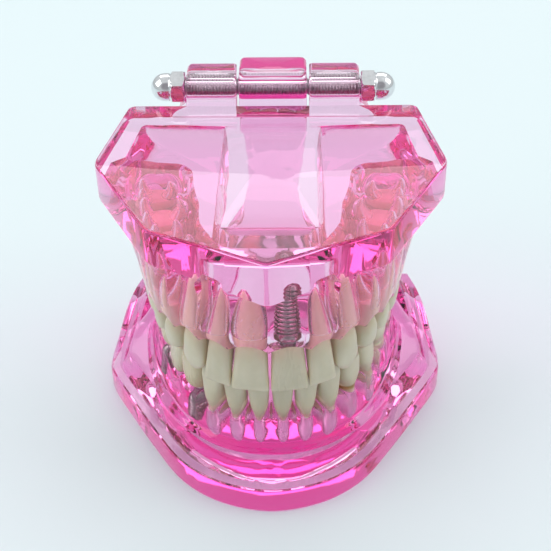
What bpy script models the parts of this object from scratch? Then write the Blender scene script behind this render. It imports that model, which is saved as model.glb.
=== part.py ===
"""Hinged clear-resin typodont: two resin jaws with separate teeth, three implants,
a three-unit bridge and a transverse hinge pin held by two domed nuts.

Frame: +Z up, front teeth towards -Y, origin on the table under the centre of the box.
All sizes below are millimetres; geometry is built in metres.
"""
import math

import bpy
import bmesh
from mathutils import Matrix, Vector

MM = 0.001

# ---------------------------------------------------------------- driving sizes
Y_SHIFT = 0.8            # moves the drawing so that the box centre is the origin
PLATE_TOP = 61.0         # upper base top face
PLATE_BOTTOM = 52.2      # upper base underside outside the arch
LOWER_WALL = 6.4         # height of the lower base's outer wall
FLOOR = 9.4              # floor of the tongue space
AXIS_Y, AXIS_Z = 33.2, 63.0   # hinge pin
PIN_R = 2.0
BORE_R = 2.35
PIN_HALF = 25.6
LUG_IN, LUG_OUT = 8.4, 20.0   # upper hinge lugs, |x|
POST_HALF = 7.8               # lower hinge knuckle, |x|
GAP = 0.32                    # clearance between touching pieces
NUT_AF, NUT_HEX, NUT_LEN, DOME_R = 7.0, 3.4, 8.0, 3.25

UPPER_OUTLINE = [(0, -35.2), (24.2, -23.6), (37.9, 2.4), (33.0, 28.0),
                 (-33.0, 28.0), (-37.9, 2.4), (-24.2, -23.6)]
LOWER_HALF = [(0, -40.6), (7.2, -39.4), (14.2, -36.2), (20.4, -30.8), (26.6, -21.6),
              (33.4, -10.2), (38.6, -0.6), (39.0, 3.6), (38.2, 9.0), (36.2, 19.0), (33.4, 28.6)]

# Arch curves: half ellipses through the cheek faces of the crowns
ARCH = {"upper": (30.0, 50.0, 17.5), "lower": (27.3, 47.4, 17.5)}

ARCH_POWER = 2.25

# kind: width, depth, crown height, root length, cervical share of width, cusps (u, v, height), rim share
TOOTH = {
    "central": dict(w=8.6, d=7.2, h=11.3, r=12.5, cusps=None),
    "lateral": dict(w=6.8, d=6.4, h=10.6, r=12.0, cusps=None),
    "canine": dict(w=7.7, d=8.0, h=10.6, r=14.0, cusps="point"),
    "premolar": dict(w=7.0, d=8.9, h=8.6, r=12.0, cusps=[(0, .52, 2.0), (0, -.52, 1.4)]),
    "molar1": dict(w=10.1, d=10.6, h=8.0, r=11.5,
                   cusps=[(.45, .5, 1.7), (-.45, .5, 1.6), (.45, -.5, 1.6), (-.45, -.5, 1.2)]),
    "molar2": dict(w=9.3, d=10.2, h=7.0, r=10.5,
                   cusps=[(.45, .5, 1.6), (-.45, .5, 1.5), (.45, -.5, 1.5), (-.45, -.5, 1.0)]),
    "l_incisor": dict(w=5.4, d=5.9, h=11.0, r=10.0, cusps=None),
    "l_lateral": dict(w=5.8, d=6.1, h=11.0, r=10.5, cusps=None),
    "l_canine": dict(w=6.7, d=7.2, h=11.4, r=11.0, cusps="point"),
    "l_premolar": dict(w=6.9, d=7.6, h=9.6, r=10.5, cusps=[(0, .42, 1.9), (0, -.5, 1.0)]),
    "l_molar1": dict(w=10.8, d=9.6, h=7.4, r=9.5,
                     cusps=[(.45, .5, 1.4), (-.45, .5, 1.3), (.45, -.5, 1.3), (-.45, -.5, 1.2)]),
    "l_molar2": dict(w=10.2, d=9.4, h=6.8, r=9.0,
                     cusps=[(.45, .5, 1.3), (-.45, .5, 1.2), (.45, -.5, 1.2), (-.45, -.5, 1.1)]),
}
UPPER_ROW = ["central", "lateral", "canine", "premolar", "premolar", "molar1", "molar2"]
LOWER_ROW = ["l_incisor", "l_lateral", "l_canine", "l_premolar", "l_premolar", "l_molar1", "l_molar2"]
NAMES = ["central_incisor", "lateral_incisor", "canine", "first_premolar",
         "second_premolar", "first_molar", "second_molar"]
# crown inclination (degrees, crown tipped towards the lip or cheek)
TILT = {"upper": [9, 8, 4, 0, -1, -2, -3], "lower": [4, 3, 1, 0, -3, -6, -8]}
# height of the gum line at each tooth, and height of the biting edge
GUM = {"upper": [38.2, 38.0, 38.0, 36.4, 35.8, 35.2, 34.4], "lower": [16.4, 16.3, 16.2, 16.9, 18.2, 19.8, 20.6]}
EDGE = {"upper": [26.4, 27.1, 26.6, 27.5, 27.7, 28.1, 28.3], "lower": [27.9, 27.8, 27.9, 27.3, 27.2, 27.1, 27.2]}
SIDES = 10

# ---------------------------------------------------------------- scene set-up
for ob in list(bpy.data.objects):
    bpy.data.objects.remove(ob, do_unlink=True)
for coll in list(bpy.data.collections):
    bpy.data.collections.remove(coll)
parts = bpy.data.collections.new("typodont")
tools = bpy.data.collections.new("cutters")
for coll in (parts, tools):
    bpy.context.scene.collection.children.link(coll)


def material(name, colour, rough=0.4, metal=0.0, transmission=0.0):
    m = bpy.data.materials.new(name)
    m.use_nodes = True
    b = m.node_tree.nodes["Principled BSDF"]
    b.inputs["Base Color"].default_value = (*colour, 1)
    b.inputs["Roughness"].default_value = rough
    b.inputs["Metallic"].default_value = metal
    b.inputs["Transmission Weight"].default_value = transmission
    m.diffuse_color = (*colour, 1)
    return m


def pink_resin(name, depth):
    return material(name, (0.93, 0.30 - 0.05 * depth, 0.62), 0.08, 0.0, 0.8)


def ivory(name):
    return material(name, (0.80, 0.76, 0.60), 0.3)


def steel(name, v=0.72):
    return material(name, (v, v, v * 1.01), 0.18, 1.0)


def link(ob, mat=None, coll=None):
    (coll or parts).objects.link(ob)
    if mat:
        ob.data.materials.append(mat)
    return ob


def cutter(ob):
    ob.hide_render = True
    ob.display_type = "WIRE"
    return ob


def boolean(ob, other, kind):
    m = ob.modifiers.new(kind.lower(), "BOOLEAN")
    m.operation = kind
    m.solver = "EXACT"
    m.object = other


def apply_all(ob):
    """Replaces the object's mesh by the mesh that its modifiers make."""
    graph = bpy.context.evaluated_depsgraph_get()
    graph.update()
    made = bpy.data.meshes.new_from_object(ob.evaluated_get(graph))
    ob.modifiers.clear()
    ob.data = made
    return ob


def loft(name, rings, start=None, end=None, coll=None, mat=None):
    """A closed body through rings of points (mm), each end closed on its own middle point."""
    bm = bmesh.new()
    rows = [[bm.verts.new(Vector(p) * MM) for p in ring] for ring in rings]
    n = len(rows[0])
    for a, b in zip(rows, rows[1:]):
        for i in range(n):
            j = (i + 1) % n
            bm.faces.new((a[i], a[j], b[j], b[i]))
    for row, tip in ((rows[0], start), (rows[-1], end)):
        if tip is None:
            tip = sum((Vector(v.co) for v in row), Vector()) / n / MM
        t = bm.verts.new(Vector(tip) * MM)
        for i in range(n):
            bm.faces.new((row[i], row[(i + 1) % n], t))
    bmesh.ops.recalc_face_normals(bm, faces=bm.faces)
    me = bpy.data.meshes.new(name)
    bm.to_mesh(me)
    bm.free()
    ob = bpy.data.objects.new(name, me)
    return link(ob, mat, coll)


def prism(name, outline, z0, z1, coll=None, mat=None):
    """A flat outline with thickness, as a filled 2D curve extruded both ways and then made a mesh."""
    cu = bpy.data.curves.new(name, "CURVE")
    cu.dimensions = "2D"
    cu.fill_mode = "BOTH"
    cu.extrude = (z1 - z0) / 2 * MM
    sp = cu.splines.new("POLY")
    sp.points.add(len(outline) - 1)
    for p, (x, y) in zip(sp.points, outline):
        p.co = (x * MM, y * MM, 0, 1)
    sp.use_cyclic_u = True
    ob = bpy.data.objects.new(name + "_outline", cu)
    parts.objects.link(ob)
    ob.location.z = (z0 + z1) / 2 * MM
    bpy.context.view_layer.update()
    graph = bpy.context.evaluated_depsgraph_get()
    me = bpy.data.meshes.new_from_object(ob.evaluated_get(graph))
    me.transform(ob.matrix_world)
    bpy.data.objects.remove(ob)
    bm = bmesh.new()
    bm.from_mesh(me)
    bmesh.ops.remove_doubles(bm, verts=bm.verts, dist=1e-6)
    bmesh.ops.recalc_face_normals(bm, faces=bm.faces)
    bm.to_mesh(me)
    bm.free()
    me.name = name
    return link(bpy.data.objects.new(name, me), mat, coll)


def turned(name, profile, steps, coll=None, mat=None):
    """A turned body: profile (radius, height) in mm, top to bottom on its outer side."""
    me = bpy.data.meshes.new(name)
    me.from_pydata([(r * MM, 0, z * MM) for r, z in profile], [(i, i + 1) for i in range(len(profile) - 1)], [])
    ob = link(bpy.data.objects.new(name, me), None, coll)
    m = ob.modifiers.new("turn", "SCREW")
    m.axis = "Z"
    m.steps = m.render_steps = steps
    m.use_merge_vertices = True
    m.merge_threshold = 0.00002
    m.use_smooth_shade = True
    apply_all(ob)
    if mat:
        ob.data.materials.clear()
        ob.data.materials.append(mat)
    ob.data.name = name
    return ob


def placed(ob, at, turn=None):
    """Sets a body down at a point (mm), turned by a matrix about its own origin."""
    ob.matrix_world = Matrix.Translation(Vector(at) * MM) @ (turn.to_4x4() if turn else Matrix.Identity(4))
    return ob


# ---------------------------------------------------------------- the dental arches
class Arch:
    """A rounded-square half ellipse, measured along its own length from the midline."""

    def __init__(self, jaw):
        self.a, self.b, self.yc = ARCH[jaw]
        self.points = [(0.0, self.at_angle(0))]
        for i in range(1, 601):
            p = self.at_angle(i * math.pi / 2 / 600)
            self.points.append((self.points[-1][0] + (p - self.points[-1][1]).length, p))

    def at_angle(self, t):
        e = 2 / ARCH_POWER
        return Vector((self.a * math.sin(t) ** e, self.yc - self.b * max(0.0, math.cos(t)) ** e))

    def point(self, s):
        q = abs(s)
        k = next((i for i, (d, _) in enumerate(self.points) if d >= q), None)
        if k is None:
            p = self.points[-1][1] + Vector((0, q - self.points[-1][0]))
        elif k == 0:
            p = self.points[0][1].copy()
        else:
            (s0, p0), (s1, p1) = self.points[k - 1], self.points[k]
            p = p0.lerp(p1, (q - s0) / (s1 - s0))
        return Vector((math.copysign(p.x, s) if s else 0.0, p.y))

    def frame(self, s):
        """Point on the arch at arc length s (signed, + to the right), its outward normal and its tangent."""
        p, h = self.point(s), 0.6
        tan = (self.point(s + h) - self.point(s - h)).normalized()
        return p, Vector((tan.y, -tan.x)), tan


ARCHES = {j: Arch(j) for j in ("upper", "lower")}
ROWS = {"upper": UPPER_ROW, "lower": LOWER_ROW}


def stations(jaw):
    """(arc length at the middle, width, depth, index) of each tooth on one side, from the midline back."""
    out, s = [], 0.0
    for i, kind in enumerate(ROWS[jaw]):
        w = TOOTH[kind]["w"]
        out.append((s + w / 2, w, TOOTH[kind]["d"], i))
        s += w
    return out


def along(jaw, s, values):
    """Blends a per-tooth value along the arch."""
    pts = [(st[0], values[st[3]]) for st in stations(jaw)]
    q = abs(s)
    if q <= pts[0][0]:
        return pts[0][1]
    for (s0, v0), (s1, v1) in zip(pts, pts[1:]):
        if q <= s1:
            return v0 + (v1 - v0) * (q - s0) / (s1 - s0)
    return pts[-1][1]


# ---------------------------------------------------------------- teeth
def section(a, b, off, t, n, p=2.3, lingual=0.80):
    """One ring of a tooth: half width a, half depth b, shifted off towards the cheek, at height t.
    The tongue side is narrower than the cheek side."""
    ring = []
    for k in range(n):
        ang = 2 * math.pi * (k + 0.5) / n
        c, s = math.cos(ang), math.sin(ang)
        x = a * math.copysign(abs(c) ** (2 / p), c)
        y = b * math.copysign(abs(s) ** (2 / p), s)
        x *= 1 - (1 - lingual) * (0.5 - 0.5 * y / max(b, 1e-6))
        ring.append((x, y + off, t))
    return ring


def tooth_rings(kind, grow=0.0, crown_only=False, n=SIDES, height=None, wide=0.0):
    """Rings of a tooth from root tip to biting face, in its own frame:
    x along the arch, y towards the cheek, z towards the biting face, origin at the neck."""
    k = TOOTH[kind]
    a, b, h, r = k["w"] / 2 - 0.19 + wide, k["d"] / 2, height or k["h"], k["r"]
    g = grow
    rings = []
    if not crown_only:
        tip = (0, 0, -r - g)
        rings += [section(0.24 * a + g, 0.22 * b + g, 0, -r * 0.97 - g * .6, n),
                  section(0.52 * a + g, 0.60 * b + g, 0, -r * 0.55, n)]
        rings += [section(0.74 * a + g, 0.88 * b + g, 0, -0.6, n)]
    else:
        tip = (0, 0, 0.35 - g)
        rings += [section(0.80 * a + g, 0.86 * b + g, 0, 0.35 - g, n)]
    if k["cusps"] is None or k["cusps"] == "point":
        point = k["cusps"] == "point"
        rings += [section(0.86 * a + g, 0.95 * b + g, 0.03 * b, 0.16 * h, n, 2.2, 0.6),
                  section(0.97 * a + g, 0.80 * b + g, 0.14 * b, 0.45 * h, n, 2.3, 0.62),
                  section(1.00 * a + g, 0.50 * b + g, 0.34 * b, (0.70 if point else 0.78) * h, n, 2.8)]
        if point:
            rings += [section(0.55 * a + g, 0.32 * b + g, 0.42 * b, 0.92 * h + g * .5, n)]
            end = (0, 0.42 * b, h + g)
        else:
            rings += [section(0.93 * a + g, 0.24 * b + g, 0.46 * b, 0.985 * h + g, n, 3.2)]
            end = (0, 0.46 * b, h + g)
    else:
        top = max(c[2] for c in k["cusps"])
        base = h - top
        rings += [section(0.90 * a + g, 0.98 * b + g, 0, 0.22 * h, n, 2.6, 0.76),
                  section(1.00 * a + g, 0.96 * b + g, 0, 0.55 * h, n, 3.0, 0.80),
                  section(0.93 * a + g, 0.80 * b + g, 0, base + 0.35, n, 3.0, 0.84)]

        def occlusal(x, y):
            u, v = x / a, y / b
            z = base
            for cu, cv, ch in k["cusps"]:
                z += ch * math.exp(-(((u - cu) / 0.42) ** 2 + ((v - cv) / 0.36) ** 2))
            return min(z, h)

        inner = section(0.62 * a, 0.52 * b, 0, 0, n, 3.0, 0.92)
        rings += [[(x, y, occlusal(x, y) + g) for x, y, _ in inner]]
        end = (0, 0, base - 0.1 + g)
    return tip, rings, end


def tooth_matrix(jaw, s, i, kind, height=None):
    """Places a tooth frame on its arch: neck just inside the gum line, crown tip on the biting plane."""
    p, nor, tan = ARCHES[jaw].frame(s)
    k = TOOTH[kind]
    up = -1 if jaw == "upper" else 1
    centre = p - nor * (k["d"] / 2 - 0.1)
    z_neck = EDGE[jaw][i] - up * (height or k["h"])
    X = Vector((tan.x, tan.y, 0))
    Y = Vector((nor.x, nor.y, 0))
    Z = Vector((0, 0, up))
    if X.cross(Y).dot(Z) < 0:
        X = -X
    tilt = math.radians(TILT[jaw][i])
    Z2 = (Z * math.cos(tilt) + Y * math.sin(tilt)).normalized()
    Y2 = (Y * math.cos(tilt) - Z * math.sin(tilt)).normalized()
    m = Matrix((X, Y2, Z2)).transposed().to_4x4()
    # the tip stays on the arch: the neck moves inwards by the lean of the crown
    lean = (height or k["h"]) * math.sin(tilt)
    at = Vector((centre.x, centre.y, z_neck)) - Y * lean
    return Matrix.Translation(at) @ m


def make_tooth(name, jaw, s, i, kind, grow=0.0, crown_only=False, coll=None, mat=None, height=None, wide=0.0):
    tip, rings, end = tooth_rings(kind, grow, crown_only, SIDES, height, wide)
    m = tooth_matrix(jaw, s, i, kind, height)
    ob = loft(name, rings, tip, end, coll, mat)
    m = m.copy()
    m.translation = m.translation * MM
    ob.matrix_world = m
    return ob


# ---------------------------------------------------------------- resin bodies
def papilla(jaw, s):
    """1 between two teeth, 0 at the middle of a tooth."""
    q = abs(s)
    for mid, w, _, _ in stations(jaw):
        if q <= mid + w / 2:
            return min(1.0, (abs(q - mid) / (w / 2)) ** 2)
    return 0.6


def ridge(name, jaw, coll=None):
    """The tooth-bearing ridge: sections across the arch, joined along it and closed at both ends."""
    sts = stations(jaw)
    last = sts[-1][0] + sts[-1][1] / 2
    marks = [0.0]
    for mid, w, _, _ in sts:
        marks += [mid, mid + w / 2]
    marks += [last + 2.6, last + 4.6]
    ss = [-m for m in reversed(marks[1:])] + marks
    depth = [TOOTH[k]["d"] for k in ROWS[jaw]]
    rings = []
    for s in ss:
        p, nor, tan = ARCHES[jaw].frame(s)
        d = along(jaw, s, depth)
        gum = along(jaw, s, GUM[jaw])
        pap = papilla(jaw, s)
        over = max(0.0, abs(s) - last)
        pinch = 1.0 if over < 0.5 else (0.82 if over < 3 else 0.45)
        if jaw == "upper":
            z = gum - 1.5 * pap if over < 0.5 else gum + over * 1.1
            top = 54.0
            prof = [(-0.9, top), (-0.1, 50.6), (1.1, 46.4), (1.1, 42.0), (0.55, z + 1.6), (-0.5 - 0.4 * pap, z + 0.1),
                    (-d / 2, z - 0.2), (-d + 0.6 + 0.4 * pap, z + 0.1), (-d - 0.5, z + 1.7), (-d - 2.2, 43.0),
                    (-d - 4.0, 48.0), (-d - 5.4, top)]
        else:
            z = gum + 1.5 * pap if over < 0.5 else gum - over * 0.7
            low = 3.0
            prof = [(4.6, low), (3.6, 10.6), (2.0, 12.6), (0.9, min(15.0, z - 1.6)), (0.5, z - 1.2), (-0.5 - 0.4 * pap, z - 0.1),
                    (-d / 2, z + 0.2), (-d + 0.6 + 0.4 * pap, z - 0.1), (-d - 0.6, z - 1.6), (-d - 1.8, 12.6),
                    (-d - 3.2, FLOOR - 0.2), (-d - 4.0, low)]
        mid = -d / 2
        ring = []
        for o, zz in prof:
            o = mid + (o - mid) * pinch
            q = p + nor * o
            ring.append((q.x, q.y, zz))
        rings.append(ring)
    return loft(name, rings, None, None, coll or tools)


def box(name, x0, x1, y0, y1, z0, z1, coll=None, bevel=0.0, mat=None):
    bpy.ops.mesh.primitive_cube_add(size=1)
    ob = bpy.context.object
    ob.name = ob.data.name = name
    for c in list(ob.users_collection):
        c.objects.unlink(ob)
    ob.data.transform(Matrix.Translation(Vector(((x0 + x1) / 2, (y0 + y1) / 2, (z0 + z1) / 2)) * MM)
                      @ Matrix.Diagonal((abs(x1 - x0) * MM, abs(y1 - y0) * MM, abs(z1 - z0) * MM, 1)))
    link(ob, mat, coll)
    if bevel:
        m = ob.modifiers.new("round", "BEVEL")
        m.width = bevel * MM
        m.segments = 2
        m.limit_method = "ANGLE"
        apply_all(ob)
    return ob


def rounded(outline, radius):
    """A corner-rounded copy of an outline, three points a corner."""
    out, n = [], len(outline)
    for i, p in enumerate(outline):
        p = Vector(p)
        a, b = Vector(outline[i - 1]) - p, Vector(outline[(i + 1) % n]) - p
        r = radius[i] if isinstance(radius, (list, tuple)) else radius
        r = min(r, a.length / 3, b.length / 3)
        pa, pb = p + a.normalized() * r, p + b.normalized() * r
        out += [tuple(pa), tuple((pa + pb) / 4 + p / 2), tuple(pb)]
    return out


def cylinder_x(name, x0, x1, y, z, r, sides=20):
    bpy.ops.mesh.primitive_cylinder_add(vertices=sides, radius=r * MM, depth=abs(x1 - x0) * MM,
                                        location=((x0 + x1) / 2 * MM, y * MM, z * MM), rotation=(0, math.pi / 2, 0))
    ob = bpy.context.object
    ob.name = ob.data.name = name
    for c in list(ob.users_collection):
        c.objects.unlink(ob)
    tools.objects.link(ob)
    return cutter(ob)


# ---- upper base: trimmed plate, ridge and two hinge lugs
upper_resin = pink_resin("upper_resin", 0)
lower_resin = pink_resin("lower_resin", 1)

upper_outline = rounded(UPPER_OUTLINE, [1.2, 3.0, 7.0, 2.0, 2.0, 7.0, 3.0])


def inset(pts, centre, d):
    out = []
    for x, y in pts:
        v = Vector((x, y)) - Vector(centre)
        out.append(tuple(Vector(centre) + v * (1 - d / v.length)))
    return out


def stack(name, levels, coll=None):
    """A closed body through stacked outlines [(points, z or function of y), ...]."""
    rings = [[(x, y, z(y) if callable(z) else z) for x, y in pts] for pts, z in levels]
    return loft(name, rings, None, None, coll or tools)


C = (0, 0)
upper_base = stack("upper_base", [
    (inset(upper_outline, C, 3.5), PLATE_BOTTOM - 0.2),
    (inset(upper_outline, C, 1.0), PLATE_BOTTOM),
    (upper_outline, PLATE_BOTTOM + 1.0),
    (upper_outline, PLATE_TOP - 0.5),
    (inset(upper_outline, C, 0.5), PLATE_TOP)], parts)
upper_base.data.materials.append(upper_resin)
boolean(upper_base, cutter(ridge("upper_ridge", "upper")), "UNION")
for side in (-1, 1):
    tag = "left" if side > 0 else "right"
    xi = side * LUG_IN
    y1 = 37.6
    lug = loft(f"lug_{tag}", [
        [(xi, y0, z), (x * side, y0, z), (x * side, y, z), (xi, y, z)]
        for x, y0, y, z in ((23.4, 27.0, 36.6, 53.0), (23.2, 27.0, y1, 54.2), (21.4, 27.0, y1, 57.6),
                            (LUG_OUT, 27.3, y1, 59.4), (LUG_OUT, 28.9, y1, 61.6), (LUG_OUT, 28.9, y1, 66.4),
                            (LUG_OUT - 0.7, 29.7, y1 - 0.8, 67.4))], None, None, tools)
    boolean(upper_base, cutter(lug), "UNION")
boolean(upper_base, cylinder_x("upper_bore", -30, 30, AXIS_Y, AXIS_Z, BORE_R), "DIFFERENCE")

# ---- lower base: rounded plate with a stepped rim, ridge, and the hinge post
half = LOWER_HALF
lower_outline = half + [(-x, y) for x, y in reversed(half[1:])]


def heel(base, lift, start=2.0, span=22.0):
    """Height that climbs towards the back of the jaw."""
    def z(y):
        t = min(1.0, max(0.0, (y - start) / span))
        return base + lift * t * t * (3 - 2 * t)
    return z


lower_base = stack("lower_base", [
    (inset(lower_outline, C, 0.5), 0.0),
    (lower_outline, 0.5),
    (lower_outline, heel(LOWER_WALL - 0.4, 6.0)),
    (inset(lower_outline, C, 0.5), heel(LOWER_WALL, 6.6)),
    (inset(lower_outline, C, 2.6), heel(LOWER_WALL + 0.7, 7.0)),
    (inset(lower_outline, C, 4.4), heel(LOWER_WALL + 3.4, 5.4)),
    (inset(lower_outline, C, 5.4), heel(LOWER_WALL + 4.0, 4.8)),
    (inset(lower_outline, C, 9.0), heel(LOWER_WALL + 4.4, 2.6)),
    (inset(lower_outline, C, 15.5), FLOOR)], parts)
lower_base.data.materials.append(lower_resin)
boolean(lower_base, cutter(ridge("lower_ridge", "lower")), "UNION")
post = loft("post", [
    [(-15, 25.0, 0.0), (15, 25.0, 0.0), (15, 38.6, 0.0), (-15, 38.6, 0.0)],
    [(-15, 25.0, 6.0), (15, 25.0, 6.0), (15, 39.0, 6.0), (-15, 39.0, 6.0)],
    [(-12, 26.0, 10.5), (12, 26.0, 10.5), (12, 39.0, 10.5), (-12, 39.0, 10.5)],
    [(-9.0, 27.6, 14.5), (9.0, 27.6, 14.5), (9.0, 39.0, 14.5), (-9.0, 39.0, 14.5)],
    [(-POST_HALF, 29.0, 19.0), (POST_HALF, 29.0, 19.0), (POST_HALF, 39.0, 19.0), (-POST_HALF, 39.0, 19.0)],
    [(-POST_HALF, 29.0, 66.6), (POST_HALF, 29.0, 66.6), (POST_HALF, 39.0, 67.2), (-POST_HALF, 39.0, 67.2)],
    [(-POST_HALF + .6, 30.0, 68.2), (POST_HALF - .6, 30.0, 68.2), (POST_HALF - .6, 38.2, 68.2), (-POST_HALF + .6, 38.2, 68.2)]],
    None, None, tools)
boolean(lower_base, cutter(post), "UNION")
boolean(lower_base, cylinder_x("lower_bore", -12, 12, AXIS_Y, AXIS_Z, BORE_R), "DIFFERENCE")

# ---------------------------------------------------------------- teeth, sockets, implants
root = bpy.data.objects.new("typodont_frame", None)
parts.objects.link(root)
jaw_up = bpy.data.objects.new("upper_jaw_on_hinge_axis", None)
parts.objects.link(jaw_up)
jaw_up.location = (0, AXIS_Y * MM, AXIS_Z * MM)
bpy.context.view_layer.update()

upper_nodes, lower_nodes = [upper_base], [lower_base]
MISSING = {"upper": {("left", 0)}, "lower": {("right", 3), ("right", 4), ("right", 5)}}
for jaw in ("upper", "lower"):
    base = upper_base if jaw == "upper" else lower_base
    for side, tag in ((-1, "right"), (1, "left")):
        for mid, w, d, i in stations(jaw):
            if (tag, i) in MISSING[jaw]:
                continue
            kind = ROWS[jaw][i]
            name = f"{jaw}_{tag}_{NAMES[i]}"
            ob = make_tooth(name, jaw, side * mid, i, kind, mat=ivory(name))
            (upper_nodes if jaw == "upper" else lower_nodes).append(ob)
            cut = make_tooth("socket_" + name, jaw, side * mid, i, kind, grow=GAP, coll=tools)
            boolean(base, cutter(cut), "DIFFERENCE")


def implant_body(name, length, r, taper, threads, neck=1.2):
    """Fixture along its own +Z: flat platform at 0, threads below, rounded end. Profile runs top to bottom."""
    prof = [(0, 0), (r - 0.15, 0), (r, -0.25), (r, -neck)]
    for k in range(threads):
        f = (k + 0.5) / threads
        z = -neck - (length - neck - 1.2) * f
        rr = r * (1 - taper * f)
        prof += [(rr * 0.84, z + 0.28), (rr, z - 0.12)]
    prof += [(r * (1 - taper) * 0.8, -length + 0.7), (r * (1 - taper) * 0.35, -length), (0, -length)]
    return turned(name, prof, 12, mat=steel(name, 0.55))


def fit_to(ob, m, t, tilt=0.0):
    """Places a turned body on a tooth's own axis, at height t above its neck."""
    w = m @ Matrix.Translation(Vector((0, 0, t)))
    if tilt:
        w = w @ Matrix.Rotation(math.radians(tilt), 4, "X")
    w.translation = w.translation * MM
    ob.matrix_world = w
    return ob


def abutment(name, height, r0, r1):
    """Post that the crown sits on, with its screw shank going down into the fixture's mouth left out."""
    prof = [(0, height), (r1 - 0.3, height), (r1, height - 0.4), (r0, 0.9), (r0 + 0.45, 0.55), (r0 - 0.1, 0.0), (0, 0.0)]
    return turned(name, prof, 14, mat=steel(name, 0.7))


def cone_cut(ob, m, t0, t1, r0, r1, name, sides=14):
    bpy.ops.mesh.primitive_cone_add(vertices=sides, radius1=r0 * MM, radius2=r1 * MM, depth=(t1 - t0) * MM)
    c = bpy.context.object
    c.name = c.data.name = name
    for cc in list(c.users_collection):
        cc.objects.unlink(c)
    tools.objects.link(c)
    w = m @ Matrix.Translation(Vector((0, 0, (t0 + t1) / 2)))
    w.translation = w.translation * MM
    c.matrix_world = w
    cutter(c)
    boolean(ob, c, "DIFFERENCE")


# implants: (jaw, side, tooth index, platform height above the neck, length, radius)
IMPLANTS = [("upper", 1, 0, -1.1, 13.0, 2.25, "upper_implant"),
            ("lower", -1, 3, -1.3, 10.0, 2.05, "lower_front_implant"),
            ("lower", -1, 5, -2.0, 9.5, 2.15, "lower_rear_implant")]
for jaw, side, i, t, length, r, name in IMPLANTS:
    base = upper_base if jaw == "upper" else lower_base
    nodes = upper_nodes if jaw == "upper" else lower_nodes
    mid = stations(jaw)[i][0]
    kind = ROWS[jaw][i]
    m = tooth_matrix(jaw, side * mid, i, kind)
    fix = fit_to(implant_body(name, length, r, 0.16, 6), m, t)
    nodes.append(fix)
    ab_name = name.replace("implant", "abutment")
    ab = fit_to(abutment(ab_name, 5.0, 1.75, 1.25), m, t + GAP)
    nodes.append(ab)
    # bore for the fixture, and a wider mouth above it for the abutment's collar
    cone_cut(base, m, t - length - 0.4, t + 0.5, r + 0.36, r + 0.36, "bore_" + name)
    cone_cut(base, m, t + 0.2, t + 6.0, 2.62, 2.62, "mouth_" + name)

# implant crown (upper left central incisor)
i = 0
mid = stations("upper")[0][0]
m = tooth_matrix("upper", mid, 0, "central")
crown = make_tooth("upper_left_central_implant_crown", "upper", mid, 0, "central", crown_only=True,
                   mat=ivory("upper_left_central_implant_crown"))
cut = make_tooth("seat_crown", "upper", mid, 0, "central", grow=GAP, crown_only=True, coll=tools)
boolean(upper_base, cutter(cut), "DIFFERENCE")
cone_cut(crown, m, -0.6, 4.6, 2.35, 1.7, "crown_recess")
upper_nodes.append(crown)

# three-unit bridge on the two lower right implants
# the outer units grow only towards the pontic, so that the units overlap and join
bridge = None
for k, shift, wide in ((3, 0.42, 0.40), (4, 0.0, 0.55), (5, -0.42, 0.40)):
    mid = stations("lower")[k][0] + shift
    kind = ROWS["lower"][k]
    unit = make_tooth(f"bridge_unit_{k}", "lower", -mid, k, kind, crown_only=True, coll=parts if bridge is None else tools, wide=wide)
    cut = make_tooth(f"seat_bridge_{k}", "lower", -mid, k, kind, grow=GAP + 0.1, crown_only=True, coll=tools, wide=wide)
    boolean(lower_base, cutter(cut), "DIFFERENCE")
    if bridge is None:
        bridge = unit
        bridge.name = bridge.data.name = "lower_right_bridge"
        bridge.data.materials.append(ivory("lower_right_bridge"))
    else:
        boolean(bridge, cutter(unit), "UNION")
for k, tag in ((3, "front"), (5, "rear")):
    mid = stations("lower")[k][0]
    m = tooth_matrix("lower", -mid, k, ROWS["lower"][k])
    t = -1.3 if k == 3 else -2.0
    cone_cut(bridge, m, t + 0.1, t + GAP + 5.4, 2.62, 1.7, f"bridge_recess_{tag}")
lower_nodes.append(bridge)

# ---------------------------------------------------------------- hinge pin and domed nuts
pin = turned("hinge_pin", [(0, PIN_HALF), (PIN_R - 0.4, PIN_HALF), (PIN_R, PIN_HALF - 0.4),
                           (PIN_R, -PIN_HALF + 0.4), (PIN_R - 0.4, -PIN_HALF), (0, -PIN_HALF)], 20, mat=steel("hinge_pin"))
placed(pin, (0, AXIS_Y, AXIS_Z), Matrix.Rotation(math.pi / 2, 3, "Y"))
upper_nodes.append(pin)
for side, tag in ((-1, "right"), (1, "left")):
    bpy.ops.mesh.primitive_cylinder_add(vertices=6, radius=NUT_AF / math.sqrt(3) * MM, depth=NUT_HEX * MM)
    nut = bpy.context.object
    nut.data.transform(Matrix.Translation((0, 0, NUT_HEX / 2 * MM)))
    nut.name = nut.data.name = f"domed_nut_{tag}"
    for c in list(nut.users_collection):
        c.objects.unlink(nut)
    link(nut, steel(f"domed_nut_{tag}"))
    z1 = NUT_HEX - 0.4
    arc = [(DOME_R * math.cos(a), NUT_LEN - DOME_R + DOME_R * math.sin(a)) for a in
           (math.radians(d) for d in (80, 60, 40, 20, 0))]
    dome = turned(f"dome_{tag}", [(0, NUT_LEN)] + arc + [(DOME_R, z1), (0, z1)], 18, tools)
    boolean(nut, cutter(dome), "UNION")
    bpy.ops.mesh.primitive_cylinder_add(vertices=18, radius=(PIN_R + 0.3) * MM, depth=7.0 * MM,
                                        location=(0, 0, (6.2 - 3.5) * MM))
    hole = bpy.context.object
    hole.name = hole.data.name = f"nut_hole_{tag}"
    for c in list(hole.users_collection):
        c.objects.unlink(hole)
    tools.objects.link(hole)
    boolean(nut, cutter(hole), "DIFFERENCE")
    apply_all(nut)
    placed(nut, (side * (LUG_OUT + GAP), AXIS_Y, AXIS_Z), Matrix.Rotation(side * math.pi / 2, 3, "Y"))
    upper_nodes.append(nut)

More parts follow.
